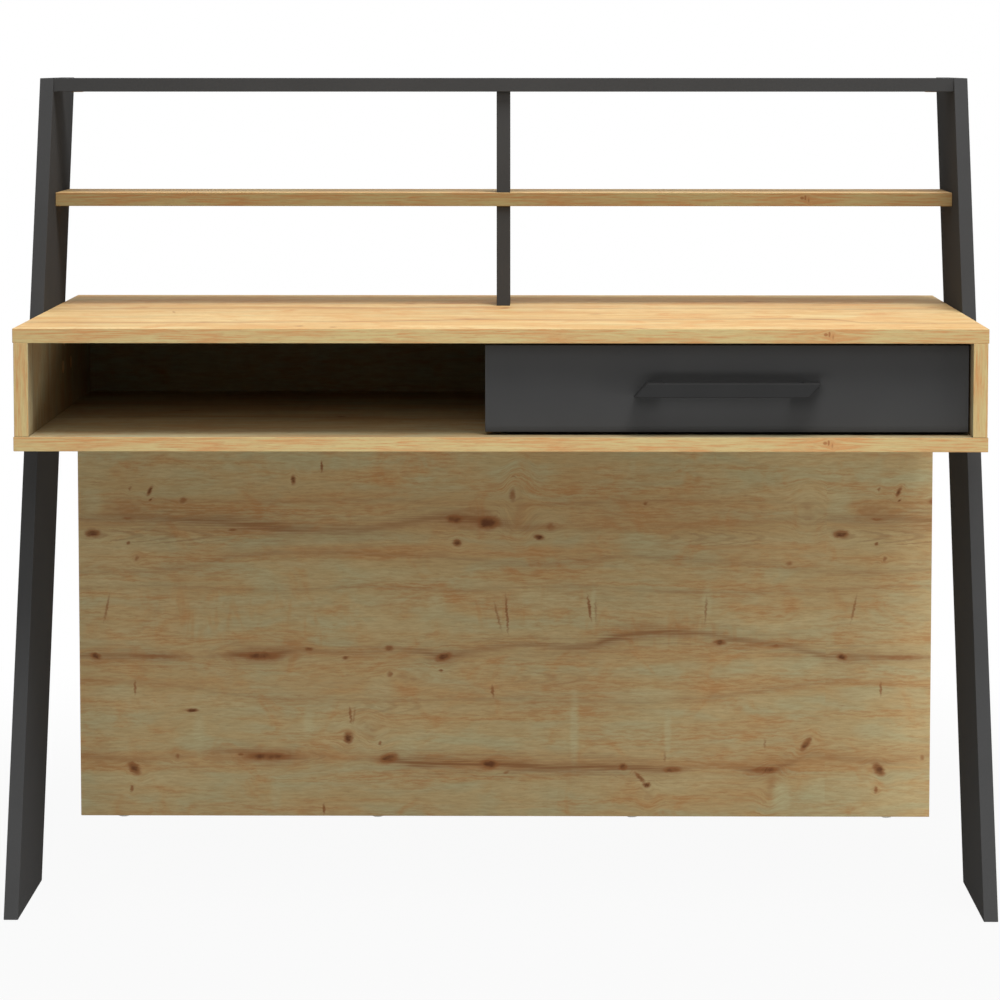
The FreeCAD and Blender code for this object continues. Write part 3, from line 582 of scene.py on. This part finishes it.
PLAIN_STREAKS = [
    (4.0, 0.50, [(-0.600, -0.060), (-0.300, -0.052), (-0.100, -0.072), (0.150, -0.060),
                 (0.300, -0.068), (0.452, -0.060)]),
    (3.0, 0.45, [(-0.600, 0.100), (-0.250, 0.092), (0.000, 0.106), (0.200, 0.098),
                 (0.452, 0.100)]),
]


def mark(tree, group, place, spot, inputs):
    """Uses a mark's group; spot is how far along and across, half length and half height."""
    along, across, length, height = spot
    return use(tree, group, {"Place": place, "Centre": (along, across, 0),
                             "Half Size": (length * MM, height * MM, 1), **inputs})


def knotted(tree, place, knots, cracks):
    """Puts knots and cracks on the print one after another."""
    marks = [(OAK_LEANING_KNOT if turn else OAK_KNOT,
              (along, across, length * KNOT_SHARE, height * KNOT_SHARE), depth, turn)
             for along, across, length, height, depth, turn in knots]
    marks += [(OAK_CRACK, (along, across, CRACK_HALF_WIDTH, length), depth, lean)
              for along, across, length, depth, lean in cracks]
    dark = 0.0
    for group, spot, depth, turn in marks:
        made = mark(tree, group, place, spot,
                    {"Turn": math.radians(-turn), "Depth": depth, "Dark": dark})
        place, dark = made["Place"], made["Dark"]
    return place, dark


def tongued(tree, place, tongues, dark):
    """Adds the tongues of grain to what is brown already."""
    for *spot, lines, strength in tongues:
        dark = mark(tree, OAK_TONGUE, place, spot,
                    {"Lines": lines, "Strength": strength, "Dark": dark})["Dark"]
    return dark


def patched(tree, place, patches):
    """Where the pale patches lie, and how pale they are."""
    pale = 0.0
    for *spot, depth in patches:
        pale = mark(tree, OAK_PATCH, place, spot, {"Depth": depth, "Pale": pale})["Pale"]
    return pale


def sheet_share(u):
    """How far along the sheet a place is, from 0 to 1."""
    return (u - SHEET_LEFT) / SHEET_REPEAT


def streaked(tree, along, across, streaks, low):
    """Draws the brown streaks; low is the sheet's lower edge."""
    share = maths(tree, "DIVIDE", maths(tree, "SUBTRACT", along, SHEET_LEFT), SHEET_REPEAT)
    ragged = grain_noise(tree, along, across, 0.0, RAGGED_STREAKS)
    ragged = maths(tree, "MULTIPLY_ADD", ragged, 4.4, -2.1)
    dark = 0.0
    for width, strength, points in streaks:
        line = [(sheet_share(u), (v - low) / SHEET_TALL) for u, v, *_ in points]
        path = maths(tree, "MULTIPLY_ADD", curve(tree, share, line), SHEET_TALL, low)
        fade = noise(tree, joined(tree, maths(tree, "MULTIPLY", along, 5.5), width, strength),
                     detail=1.0)
        depth = eased(tree, fade, 0.28, 0.50, 0.8 * strength, strength)
        deep = [(sheet_share(u), more[0]) for u, v, *more in points if more]
        if deep:
            depth = maths(tree, "MULTIPLY", depth, curve(tree, share, deep))
        for share_wide, share_deep in STREAK_PARTS:
            dark = use(tree, OAK_STREAK, {
                "Across": across, "Line": path, "Half Width": width * share_wide * MM,
                "Strength": maths(tree, "MULTIPLY", depth, share_deep),
                "Ragged": ragged, "Dark": dark})["Dark"]
    return dark


def principled(material):
    return material.node_tree.nodes["Principled BSDF"]


def new_material(name):
    material = bpy.data.materials.new(name)
    material.use_nodes = True
    return material


def bumped(tree, height, distance, strength):
    node = tree.nodes.new("ShaderNodeBump")
    fill(tree, node, {"Height": height, "Distance": distance, "Strength": strength})
    return node.outputs["Normal"]


def oak_board(name, axes, sheet, knots=(), cracks=(), streaks=(), bands=None, tongues=(),
              patches=(), low=SHEET_LOW, washed=0.0, blotches=0.8, middle=0.0, tape=0.0,
              strip_tone_and_painted_shade=STRIP_SHADE, painted_shade_side=0.0, painted_shade_above=EVERYWHERE):
    """An oak board; axes are its grain, cross and thickness axes.

    The edge strip's print lies about middle, the middle of the board's thickness.
    Painted shade darkens and cools the side that faces into the box, standing in for the shade
    inside it:
    that side is given as 1 or -1 along thick, and a board that has only a stretch inside the box
    is given the height above which that stretch lies.
    """
    material = new_material(name)
    tree = material.node_tree
    where = tree.nodes.new("ShaderNodeTexCoord")
    place = parted(tree, where.outputs["Object"])
    facing = parted(tree, where.outputs["Normal"])
    grain, cross, thick = axes

    steps = maths(tree, "DIVIDE", maths(tree, "SUBTRACT", place[grain], SHEET_LEFT), SHEET_REPEAT)
    along = maths(tree, "MULTIPLY_ADD", maths(tree, "FLOOR", steps), -SHEET_REPEAT, place[grain])
    ragged = grain_noise(tree, along, place[cross], sheet, RAGGED_MARKS)
    ragged_along = maths(tree, "MULTIPLY_ADD", ragged, RAGGED_ALONG, along)
    ragged_across = maths(tree, "MULTIPLY_ADD", ragged, RAGGED_ACROSS, place[cross])
    spot = joined(tree, maths(tree, "SUBTRACT", ragged_along, RAGGED_ALONG / 2),
                  maths(tree, "SUBTRACT", ragged_across, RAGGED_ACROSS / 2), 0.0)
    bent, dark = knotted(tree, spot, knots, cracks)
    brown = streaked(tree, along, place[cross], streaks, low) if streaks else 0.0
    brown = tongued(tree, spot, tongues, brown)
    tint, marks = bands(tree, along, place[cross]) if bands else (0.0, PLAIN_MARKS)

    # Painted shade: faces that look into the box, and on the back panel only the stretch above the
    # box floor, are darkened and cooled to stand in for the shade inside the box
    inward_painted_shade = eased(tree, maths(tree, "MULTIPLY", facing[thick], painted_shade_side), *FACES_INWARDS)
    inward_painted_shade = maths(tree, "MULTIPLY", inward_painted_shade,
                  maths(tree, "GREATER_THAN", place[cross], painted_shade_above))
    face = use(tree, OAK_FACE, {
        "Along": place[grain], "Across": place[cross], "Bent Across": parted(tree, bent)["Y"],
        "Sheet": sheet, "Knots": dark, "Streaks": brown, "Bands": tint, "Green Print And Painted Shade": washed,
        "Marks": marks, "Blotches": blotches, "Patches": patched(tree, spot, patches),
        "Shade": mixed(tree, inward_painted_shade, WHITE, PAINTED_INNER_SHADE)})
    end_grain = eased(tree, maths(tree, "ABSOLUTE", facing[grain]), *FACES_THAT_WAY)
    # The strip's shade is a slight tone, and on the shelf it is painted shade
    strip = use(tree, OAK_EDGE, {
        "Along": chosen(tree, end_grain, place[grain], place[cross]),
        "Across": maths(tree, "SUBTRACT", place[thick], middle),
        "Sheet": tape, "Shade": strip_tone_and_painted_shade})

    on_face = eased(tree, maths(tree, "ABSOLUTE", facing[thick]), *FACES_THAT_WAY)
    height = chosen(tree, on_face, strip["Height"], face["Height"])
    fill(tree, principled(material), {
        "Base Color": mixed(tree, on_face, strip["Color"], face["Color"]),
        "Roughness": chosen(tree, on_face, strip["Roughness"], face["Roughness"]),
        "Normal": bumped(tree, height, OAK_RELIEF, OAK_RELIEF_STRENGTH),
        "Specular IOR Level": OAK_SPECULAR})
    return material


def panel_bands(tree, along, across):
    """Where the back panel's print is more orange and has cross marks, plank by plank."""
    tall = maths(tree, "DIVIDE", across, SHEET_TALL)
    share = curve(tree, tall, [
        (0.000, 0.10), (0.080, 0.06), (0.110, 0.26), (0.150, 0.05), (0.215, 0.08), (0.262, 0.22),
        (0.288, 0.02), (0.325, 0.18), (0.355, 0.05), (0.445, 0.10), (0.470, 0.02), (0.510, 0.12),
        (0.530, 0.30), (0.548, 0.06), (0.585, 0.22), (0.605, 0.08), (0.625, 0.18), (0.660, 0.02),
        (1.000, 0.05)])
    broken = grain_noise(tree, along, across, 0.0, BROKEN_BANDS)
    marks = curve(tree, tall, [
        (0.000, 0.40), (0.080, 0.10), (0.300, 0.12), (0.360, 0.55), (0.440, 0.70), (0.470, 0.05),
        (0.640, 0.05), (0.700, 0.30), (1.000, 0.10)])
    return maths(tree, "MULTIPLY", share, eased(tree, broken, 0.35, 0.6, 0.3, 1.8)), marks


# Plain finishes

PLAIN_RELIEF = 0.1 * MM
PLAIN_RELIEF_STRENGTH = 0.15


def plain(name, light, deep, smooth, rough, coarse=20.0, fine=900.0, metallic=0.0,
          specular=0.5):
    """A painted, plated or moulded finish; coarse and fine say how fine its clouds are."""
    material = new_material(name)
    tree = material.node_tree
    where = tree.nodes.new("ShaderNodeTexCoord")
    finish = use(tree, PLAIN_FINISH, {
        "Place": where.outputs["Object"], "Coarse Scale": coarse, "Fine Scale": fine,
        "Light": light, "Deep": deep, "Smooth": smooth, "Rough": rough})
    fill(tree, principled(material), {
        "Base Color": finish["Color"], "Roughness": finish["Roughness"], "Metallic": metallic,
        "Specular IOR Level": specular,
        "Normal": bumped(tree, finish["Height"], PLAIN_RELIEF, PLAIN_RELIEF_STRENGTH)})
    return material


def middle_of(node, axis):
    """The middle of a CAD node along one axis."""
    low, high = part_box(node)
    return (low[axis] + high[axis]) / 2


# Boards with a side facing into the box get painted shade on that side
materials = {
    # The back panel's greener print, and the desktop's and shelf's warmer one, are partly painted
    # shade and light colour
    "back_panel": oak_board("back panel oak", (X, Z, Y), 1.0, PANEL_KNOTS, PANEL_CRACKS,
                            PANEL_STREAKS, panel_bands, PANEL_TONGUES, low=0.0, washed=0.5,
                            painted_shade_side=-1.0, painted_shade_above=BOX_FLOOR, patches=PANEL_PATCHES),
    "top_panel": oak_board("desktop oak", (X, Y, Z), 21.0, TOP_KNOTS, TOP_CRACKS, TOP_STREAKS,
                           middle=middle_of("top_panel", Z), washed=-0.15, blotches=1.05),
    "bottom_panel": oak_board("box floor oak", (X, Y, Z), 41.0, PLAIN_KNOTS, (), PLAIN_STREAKS,
                              middle=middle_of("bottom_panel", Z), painted_shade_side=1.0),
    "shelf": oak_board("shelf oak", (X, Y, Z), 61.0, PLAIN_KNOTS, (), PLAIN_STREAKS,
                       middle=middle_of("shelf", Z), washed=-0.15, blotches=1.05,
                       strip_tone_and_painted_shade=SHELF_STRIP_PAINTED_SHADE),
    "box_side_left": oak_board("left side oak", (Z, Y, X), 81.0, (), (), SIDE_STREAKS,
                              middle=middle_of("box_side_left", X), tape=81.0, painted_shade_side=1.0),
    "box_side_right": oak_board("right side oak", (Z, Y, X), 101.0, (), (), SIDE_STREAKS,
                               middle=middle_of("box_side_right", X), tape=101.0,
                               painted_shade_side=-1.0),
    "box_divider": oak_board("divider oak", (Z, Y, X), 121.0, painted_shade_side=-1.0),
}
slot_materials = {
    "graphite_board": plain("graphite decor", tone(70, 70, 70), tone(64, 64, 64), 0.78, 0.88,
                            12.0, 1400.0, specular=0.02),
    "drawer_board": plain("light grey decor", tone(214, 212, 206), tone(204, 202, 196), 0.5, 0.6),
    "hardboard": plain("painted hardboard", tone(206, 200, 188), tone(190, 182, 168), 0.55, 0.7),
    "handle_plastic": plain("handle plastic", tone(46, 46, 46), tone(40, 40, 40), 0.6, 0.7,
                            30.0, 2200.0, specular=0.15),
    "runner_steel": plain("runner paint", tone(226, 226, 222), tone(212, 212, 208), 0.3, 0.42,
                          40.0, 1500.0),
    "roller_nylon": plain("roller nylon", tone(232, 230, 222), tone(220, 217, 206), 0.35, 0.45),
    "zinc": plain("zinc plating", tone(188, 189, 192), tone(158, 160, 164), 0.28, 0.42, 120.0,
                  2600.0, metallic=1.0),
    "beech": plain("bare beech", tone(214, 176, 132), tone(196, 154, 110), 0.6, 0.75, 60.0, 900.0),
    "cap_plastic": plain("cap plastic", tone(208, 176, 126), tone(196, 160, 108), 0.45, 0.55),
    "glide_plastic": plain("glide plastic", tone(240, 240, 236), tone(228, 228, 222), 0.4, 0.55),
}

for subpart in frame["record"]["subparts"]:
    node = subpart["node"]
    obj = frame["nodes"][node]
    obj.data.materials.clear()
    obj.data.materials.append(materials.get(node) or slot_materials[subpart["material_slot"]])


# Fasteners, caps and glides: each node's bodies made again with their recesses and round edges

MERGE_REACH = 0.001 * MM
HEAD_ZONE = 0.3 * MM
TURNED_SIDES = 48
RECESS_INSET = 0.3
RECESS_TAPER = 0.8
SHARP_ANGLE = math.radians(32)


def bodies_of(node):
    """The separate bodies of a CAD node, each as its points."""
    form = bmesh.new()
    form.from_mesh(frame["nodes"][node].data)
    bmesh.ops.remove_doubles(form, verts=form.verts, dist=MERGE_REACH)
    waiting = set(form.verts)
    found = []
    while waiting:
        body = [waiting.pop()]
        for vert in body:
            near = {edge.other_vert(vert) for edge in vert.link_edges} & waiting
            waiting -= near
            body.extend(near)
        found.append([vert.co.copy() for vert in body])
    form.free()
    return found


def corners_of(points):
    """The lowest and the highest corner of the points' box."""
    low = Vector([min(point[side] for point in points) for side in AXES])
    high = Vector([max(point[side] for point in points) for side in AXES])
    return low, high


def reach_of(points, axis, end):
    """How wide the body is at one end, across the given axis."""
    others = [side for side in AXES if side != axis]
    close = [point for point in points if abs(point[axis] - end) < HEAD_ZONE]
    return max(max(p[side] for p in close) - min(p[side] for p in close) for side in others)


def seats_of(node, axis=None):
    """The middle of each head's face, and the way the fastener points into the board."""
    seats = []
    for points in bodies_of(node):
        low, high = corners_of(points)
        sizes = list(high - low)
        along = sizes.index(max(sizes)) if axis is None else axis
        middle = (low + high) / 2
        head_low = reach_of(points, along, low[along]) > reach_of(points, along, high[along])
        middle[along] = low[along] if head_low else high[along]
        inward = Vector((0, 0, 0))
        inward[along] = 1.0 if head_low else -1.0
        seats.append((middle, inward))
    return seats


def hexagon(size):
    """The outline of a hexagon socket; size is half its width across flats."""
    return lambda angle: size / math.cos((angle + math.pi / 6) % (math.pi / 3) - math.pi / 6)


def cross(length, width):
    """The outline of a cross recess; width is half an arm's width."""
    def outline(angle):
        folded = abs((angle + math.pi / 4) % (math.pi / 2) - math.pi / 4)
        if math.tan(folded) < width / length:
            return length / math.cos(folded)
        return width / math.sin(folded)
    return outline


def fastener(form, head, inward, profile, outline=None, depth=0.0):
    """One fastener; profile lists (depth under the head's face, radius).

    Without an outline it is a turned body. With one, the rim bounds the head's flat face alone,
    and what lies deeper is the recess's outline, scaled as the radii change.
    """
    place = Matrix.Translation(head) @ inward.to_track_quat("Z", "Y").to_matrix().to_4x4()
    back = place.inverted()
    rim = bmesh.ops.create_circle(form, cap_ends=True, radius=profile[0][1], segments=TURNED_SIDES,
                                  matrix=place)["verts"]
    edges = list({edge for vert in rim for edge in vert.link_edges})
    face = rim[0].link_faces[0]
    if outline:
        bmesh.ops.inset_individual(form, faces=[face], thickness=profile[0][1] * RECESS_INSET)
        for vert in face.verts:
            flat = back @ vert.co
            angle = math.atan2(flat.y, flat.x)
            reach = outline(angle)
            vert.co = place @ Vector((reach * math.cos(angle), reach * math.sin(angle), 0))
        floor = bmesh.ops.extrude_discrete_faces(form, faces=[face])["faces"][0]
        bmesh.ops.scale(form, vec=(RECESS_TAPER, RECESS_TAPER, 1), space=back, verts=floor.verts)
        bmesh.ops.translate(form, vec=(0, 0, depth), space=back, verts=floor.verts)
    for (level, radius), (deeper, next_radius) in zip(profile, profile[1:]):
        made = bmesh.ops.extrude_edge_only(form, edges=edges)["geom"]
        verts = [item for item in made if isinstance(item, bmesh.types.BMVert)]
        edges = [item for item in made if isinstance(item, bmesh.types.BMEdge)
                 and item.verts[0] in verts and item.verts[1] in verts]
        share = next_radius / radius
        bmesh.ops.scale(form, vec=(share, share, 1), space=back, verts=verts)
        bmesh.ops.translate(form, vec=(0, 0, deeper - level), space=back, verts=verts)
    bmesh.ops.contextual_create(form, geom=edges)


def finished(form, name, body, node, slot):
    """Makes a piece of the form that stands for a CAD node."""
    bmesh.ops.recalc_face_normals(form, faces=form.faces)
    for face in form.faces:
        face.smooth = True
    for edge in form.edges:
        edge.smooth = edge.calc_face_angle(0.0) < SHARP_ANGLE
    mesh = bpy.data.meshes.new(name)
    form.to_mesh(mesh)
    form.free()
    mesh.materials.append(slot_materials[slot])
    piece = bpy.data.objects.new(name, mesh)
    bpy.context.scene.collection.objects.link(piece)
    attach(piece, body)
    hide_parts(node)


def fasteners(name, node, body, profile, outline=None, depth=0.0, axis=None, slot="zinc"):
    """All the screws, nails or glides of a node; profile is in mm."""
    profile = [(level * MM, radius * MM) for level, radius in profile]
    form = bmesh.new()
    for head, inward in seats_of(node, axis):
        fastener(form, head, inward, profile, outline, depth)
    finished(form, name, body, node, slot)


# Each profile lists how far under the head's face and which radius, both in mm
RAIL_SCREW = [(0, 2.3), (0.25, 2.9), (0.7, 3.2), (1.2, 1.6), (13.2, 1.6), (13.7, 0.6)]
RAIL_SCREW_RECESS = cross(1.6 * MM, 0.45 * MM)
RAIL_SCREW_DEPTH = 0.9 * MM

fasteners("board_screws", "panel_screws", "desk",
          [(0, 4.8), (0.2, 5.0), (4, 3.5), (18, 3.5), (18.4, 2.6), (49.4, 2.6), (50, 1.6)],
          hexagon(2.0 * MM), 3.2 * MM)
fasteners("box_frame_screws", "frame_screws", "desk",
          [(0, 4.8), (0.2, 5.0), (3, 2.2), (30, 2.2), (31, 1.0)],
          cross(2.6 * MM, 0.7 * MM), 2.0 * MM)
fasteners("rail_screws", "fixed_rail_screws", "desk", RAIL_SCREW, RAIL_SCREW_RECESS,
          RAIL_SCREW_DEPTH)
fasteners("drawer_rail_screws", "moving_rail_screws", "drawer", RAIL_SCREW, RAIL_SCREW_RECESS,
          RAIL_SCREW_DEPTH)
fasteners("pull_screws", "handle_screws", "drawer",
          [(0, 2.8), (0.5, 3.6), (1.2, 4.0), (2.5, 4.0), (2.5, 2.0), (28, 2.0), (28.5, 1.4)],
          cross(2.2 * MM, 0.6 * MM), 1.4 * MM)
fasteners("drawer_screws", "drawer_back_screws", "drawer",
          [(0, 3.45), (0.15, 3.6), (3, 1.9), (39, 1.9), (40, 0.8)],
          cross(2.1 * MM, 0.55 * MM), 1.6 * MM)
fasteners("drawer_nails", "drawer_bottom_nails", "drawer",
          [(0, 1.6), (0.3, 2.3), (0.6, 2.5), (0.8, 2.5), (0.8, 0.9), (17.8, 0.9), (18.8, 0.2)])
fasteners("glide_feet", "floor_glides", "desk",
          [(0, 6.2), (0.5, 7.5), (1.2, 8.0), (2, 8.0), (2, 2.5), (15, 2.5), (16, 1.6)],
          axis=Z, slot="glide_plastic")

# A cap from its outer face inwards: share of its thickness, share of its radius
CAP_PROFILE = [(0.0, 0.82), (0.18, 0.94), (0.5, 1.0), (0.82, 0.94), (1.0, 0.82)]
CAM_BEVEL = 0.3 * MM
CAM_FACE_SHARE = 0.96
CAM_SLOT = cross(4.6 * MM, 0.9 * MM)
CAM_SLOT_DEPTH = 3.0 * MM
DRAWER_MIDDLE = 0.2905
PIN_HOLE = 2.05 * MM
# One side of a roller from its hole outwards: share of its half width, share of its radius
ROLLER_SIDE = [(-1.0, 0.42), (-0.6, 0.48), (-0.6, 0.78), (-1.0, 0.84), (-1.0, 0.96), (-0.8, 1.0)]


def make_caps():
    """Thin round caps with eased rims over the cams and frame screws."""
    form = bmesh.new()
    for points in bodies_of("cover_caps"):
        low, high = corners_of(points)
        sizes = list(high - low)
        thick, radius = min(sizes), max(sizes) / 2
        normal = Vector((0, 0, 0))
        normal[sizes.index(thick)] = 1.0
        face = (low + high) / 2 - normal * thick / 2
        fastener(form, face, normal, [(thick * deep, radius * wide) for deep, wide in CAP_PROFILE])
    finished(form, "round_caps", "desk", "cover_caps", "cap_plastic")


def make_cams():
    """The drawer's cam drums, with a cross slot and a rim in the face."""
    form = bmesh.new()
    for points in bodies_of("drawer_cam_housings"):
        low, high = corners_of(points)
        face = (low + high) / 2
        on_left = face.x < DRAWER_MIDDLE
        face.x = high.x if on_left else low.x
        inward = Vector((-1 if on_left else 1, 0, 0))
        radius = (high.y - low.y) / 2
        fastener(form, face, inward, [(0, radius * CAM_FACE_SHARE), (CAM_BEVEL, radius),
                                      (high.x - low.x, radius)], CAM_SLOT, CAM_SLOT_DEPTH)
    finished(form, "cam_drums", "drawer", "drawer_cam_housings", "zinc")


def make_roller(node):
    """A roller turned with a dished face on each side, round its pin."""
    low, high = corners_of(bodies_of(node)[0])
    middle = (low + high) / 2
    half = (high.x - low.x) / 2
    radius = (high.z - low.z) / 2
    side = [(-half, PIN_HOLE)] + [(along * half, away * radius) for along, away in ROLLER_SIDE]
    outline = side + [(-along, away) for along, away in reversed(side)]
    form = bmesh.new()
    verts = [form.verts.new(middle + Vector((along, 0, away))) for along, away in outline]
    edges = [form.edges.new(pair) for pair in zip(verts, verts[1:] + verts[:1])]
    bmesh.ops.spin(form, geom=verts + edges, cent=middle, axis=(1, 0, 0), angle=math.tau,
                   steps=TURNED_SIDES, use_merge=True)
    finished(form, node + "_wheel", node + "_body", node, "roller_nylon")


make_caps()
make_cams()
for roller in ("front_roller_left", "front_roller_right", "rear_roller_left",
               "rear_roller_right"):
    make_roller(roller)


# Floor, background, lamps and camera

FLOOR_REACH = 12.0
FLOOR_TONE = tone(124, 124, 122)
FLOOR_ROUGHNESS = 0.9
# To the camera the floor is nearly white under the desk, and white from the second distance on
FLOOR_FADE = (0.7, 1.6)
FLOOR_WHITE = (0.94, 1.0)
HORIZON_LIGHT = 0.035
OVERHEAD_LIGHT = 0.8
LIGHT_HEIGHTS = (0.35, 0.95)
# Lamps: name, place, target, width, height, power
LAMPS = [
    ("key lamp", (1.0, -1.5, 5.0), (0.0, 0.0, 0.6), 2.0, 2.0, 212.0),
    ("front lamp", (-0.3, -3.2, 2.2), (0.0, 0.0, 0.4), 1.6, 1.6, 31.0),
    ("low lamp", (0.0, -1.3, 0.16), (0.3, 0.26, 0.15), 1.4, 0.3, 5.2),
    ("side lamp", (2.2, -0.9, 0.28), (0.4, 0.26, 0.2), 0.9, 0.5, 11.0),
]
CAMERA_PLACE = (0.0453, -4.0741, 1.0689)
CAMERA_LENS = 111.93
CAMERA_SENSOR = 36.0
CAMERA_SHIFT = (-0.01324, -0.2183)
CAMERA_DOWN = math.radians(4.0749)
CAMERA_LEFT = math.radians(0.4411)


def white_to_camera(tree):
    """1 for rays that should see the plain background."""
    path = tree.nodes.new("ShaderNodeLightPath")
    seen = maths(tree, "MAXIMUM", path.outputs["Is Camera Ray"], path.outputs["Is Glossy Ray"])
    return maths(tree, "MAXIMUM", seen, path.outputs["Is Transmission Ray"])


def make_floor():
    form = bmesh.new()
    bmesh.ops.create_grid(form, x_segments=1, y_segments=1, size=FLOOR_REACH)
    mesh = bpy.data.meshes.new("floor")
    form.to_mesh(mesh)
    form.free()
    floor = bpy.data.objects.new("floor", mesh)
    bpy.context.scene.collection.objects.link(floor)
    material = new_material("pale floor")
    tree = material.node_tree
    fill(tree, principled(material), {"Base Color": FLOOR_TONE, "Roughness": FLOOR_ROUGHNESS})
    glow = tree.nodes.new("ShaderNodeEmission")
    where = tree.nodes.new("ShaderNodeTexCoord")
    far = vector_maths(tree, "LENGTH", where.outputs["Object"], output=1)
    share = eased(tree, far, *FLOOR_FADE, *FLOOR_WHITE)
    blend = tree.nodes.new("ShaderNodeMixShader")
    fill(tree, blend, {0: maths(tree, "MULTIPLY", share, white_to_camera(tree)),
                       1: principled(material).outputs[0], 2: glow.outputs[0]})
    tree.links.new(blend.outputs[0], tree.nodes["Material Output"].inputs["Surface"])
    mesh.materials.append(material)


def make_world():
    world = bpy.data.worlds.new("studio")
    bpy.context.scene.world = world
    world.use_nodes = True
    tree = world.node_tree
    background = tree.nodes["Background"]
    background.inputs["Color"].default_value = WHITE
    where = tree.nodes.new("ShaderNodeTexCoord")
    height = parted(tree, where.outputs["Generated"])["Z"]
    dome = eased(tree, height, *LIGHT_HEIGHTS, HORIZON_LIGHT, OVERHEAD_LIGHT)
    strength = chosen(tree, white_to_camera(tree), dome, 1.0)
    tree.links.new(strength, background.inputs["Strength"])


def make_lamp(name, place, target, width, height, power):
    data = bpy.data.lights.new(name, "AREA")
    data.shape = "RECTANGLE"
    data.size = width
    data.size_y = height
    data.energy = power
    lamp = bpy.data.objects.new(name, data)
    bpy.context.scene.collection.objects.link(lamp)
    lamp.visible_camera = False
    lamp.visible_glossy = False
    lamp.location = place
    lamp.rotation_euler = (Vector(target) - Vector(place)).to_track_quat("-Z", "Y").to_euler()


def make_camera():
    data = bpy.data.cameras.new("camera")
    data.lens = CAMERA_LENS
    data.sensor_width = CAMERA_SENSOR
    data.shift_x, data.shift_y = CAMERA_SHIFT
    camera = bpy.data.objects.new("camera", data)
    bpy.context.scene.collection.objects.link(camera)
    camera.location = CAMERA_PLACE
    camera.rotation_euler = (math.radians(90.0) - CAMERA_DOWN, 0.0, CAMERA_LEFT)
    bpy.context.scene.camera = camera


make_floor()
make_world()
for lamp in LAMPS:
    make_lamp(*lamp)
make_camera()
bpy.context.scene.view_settings.view_transform = "Standard"
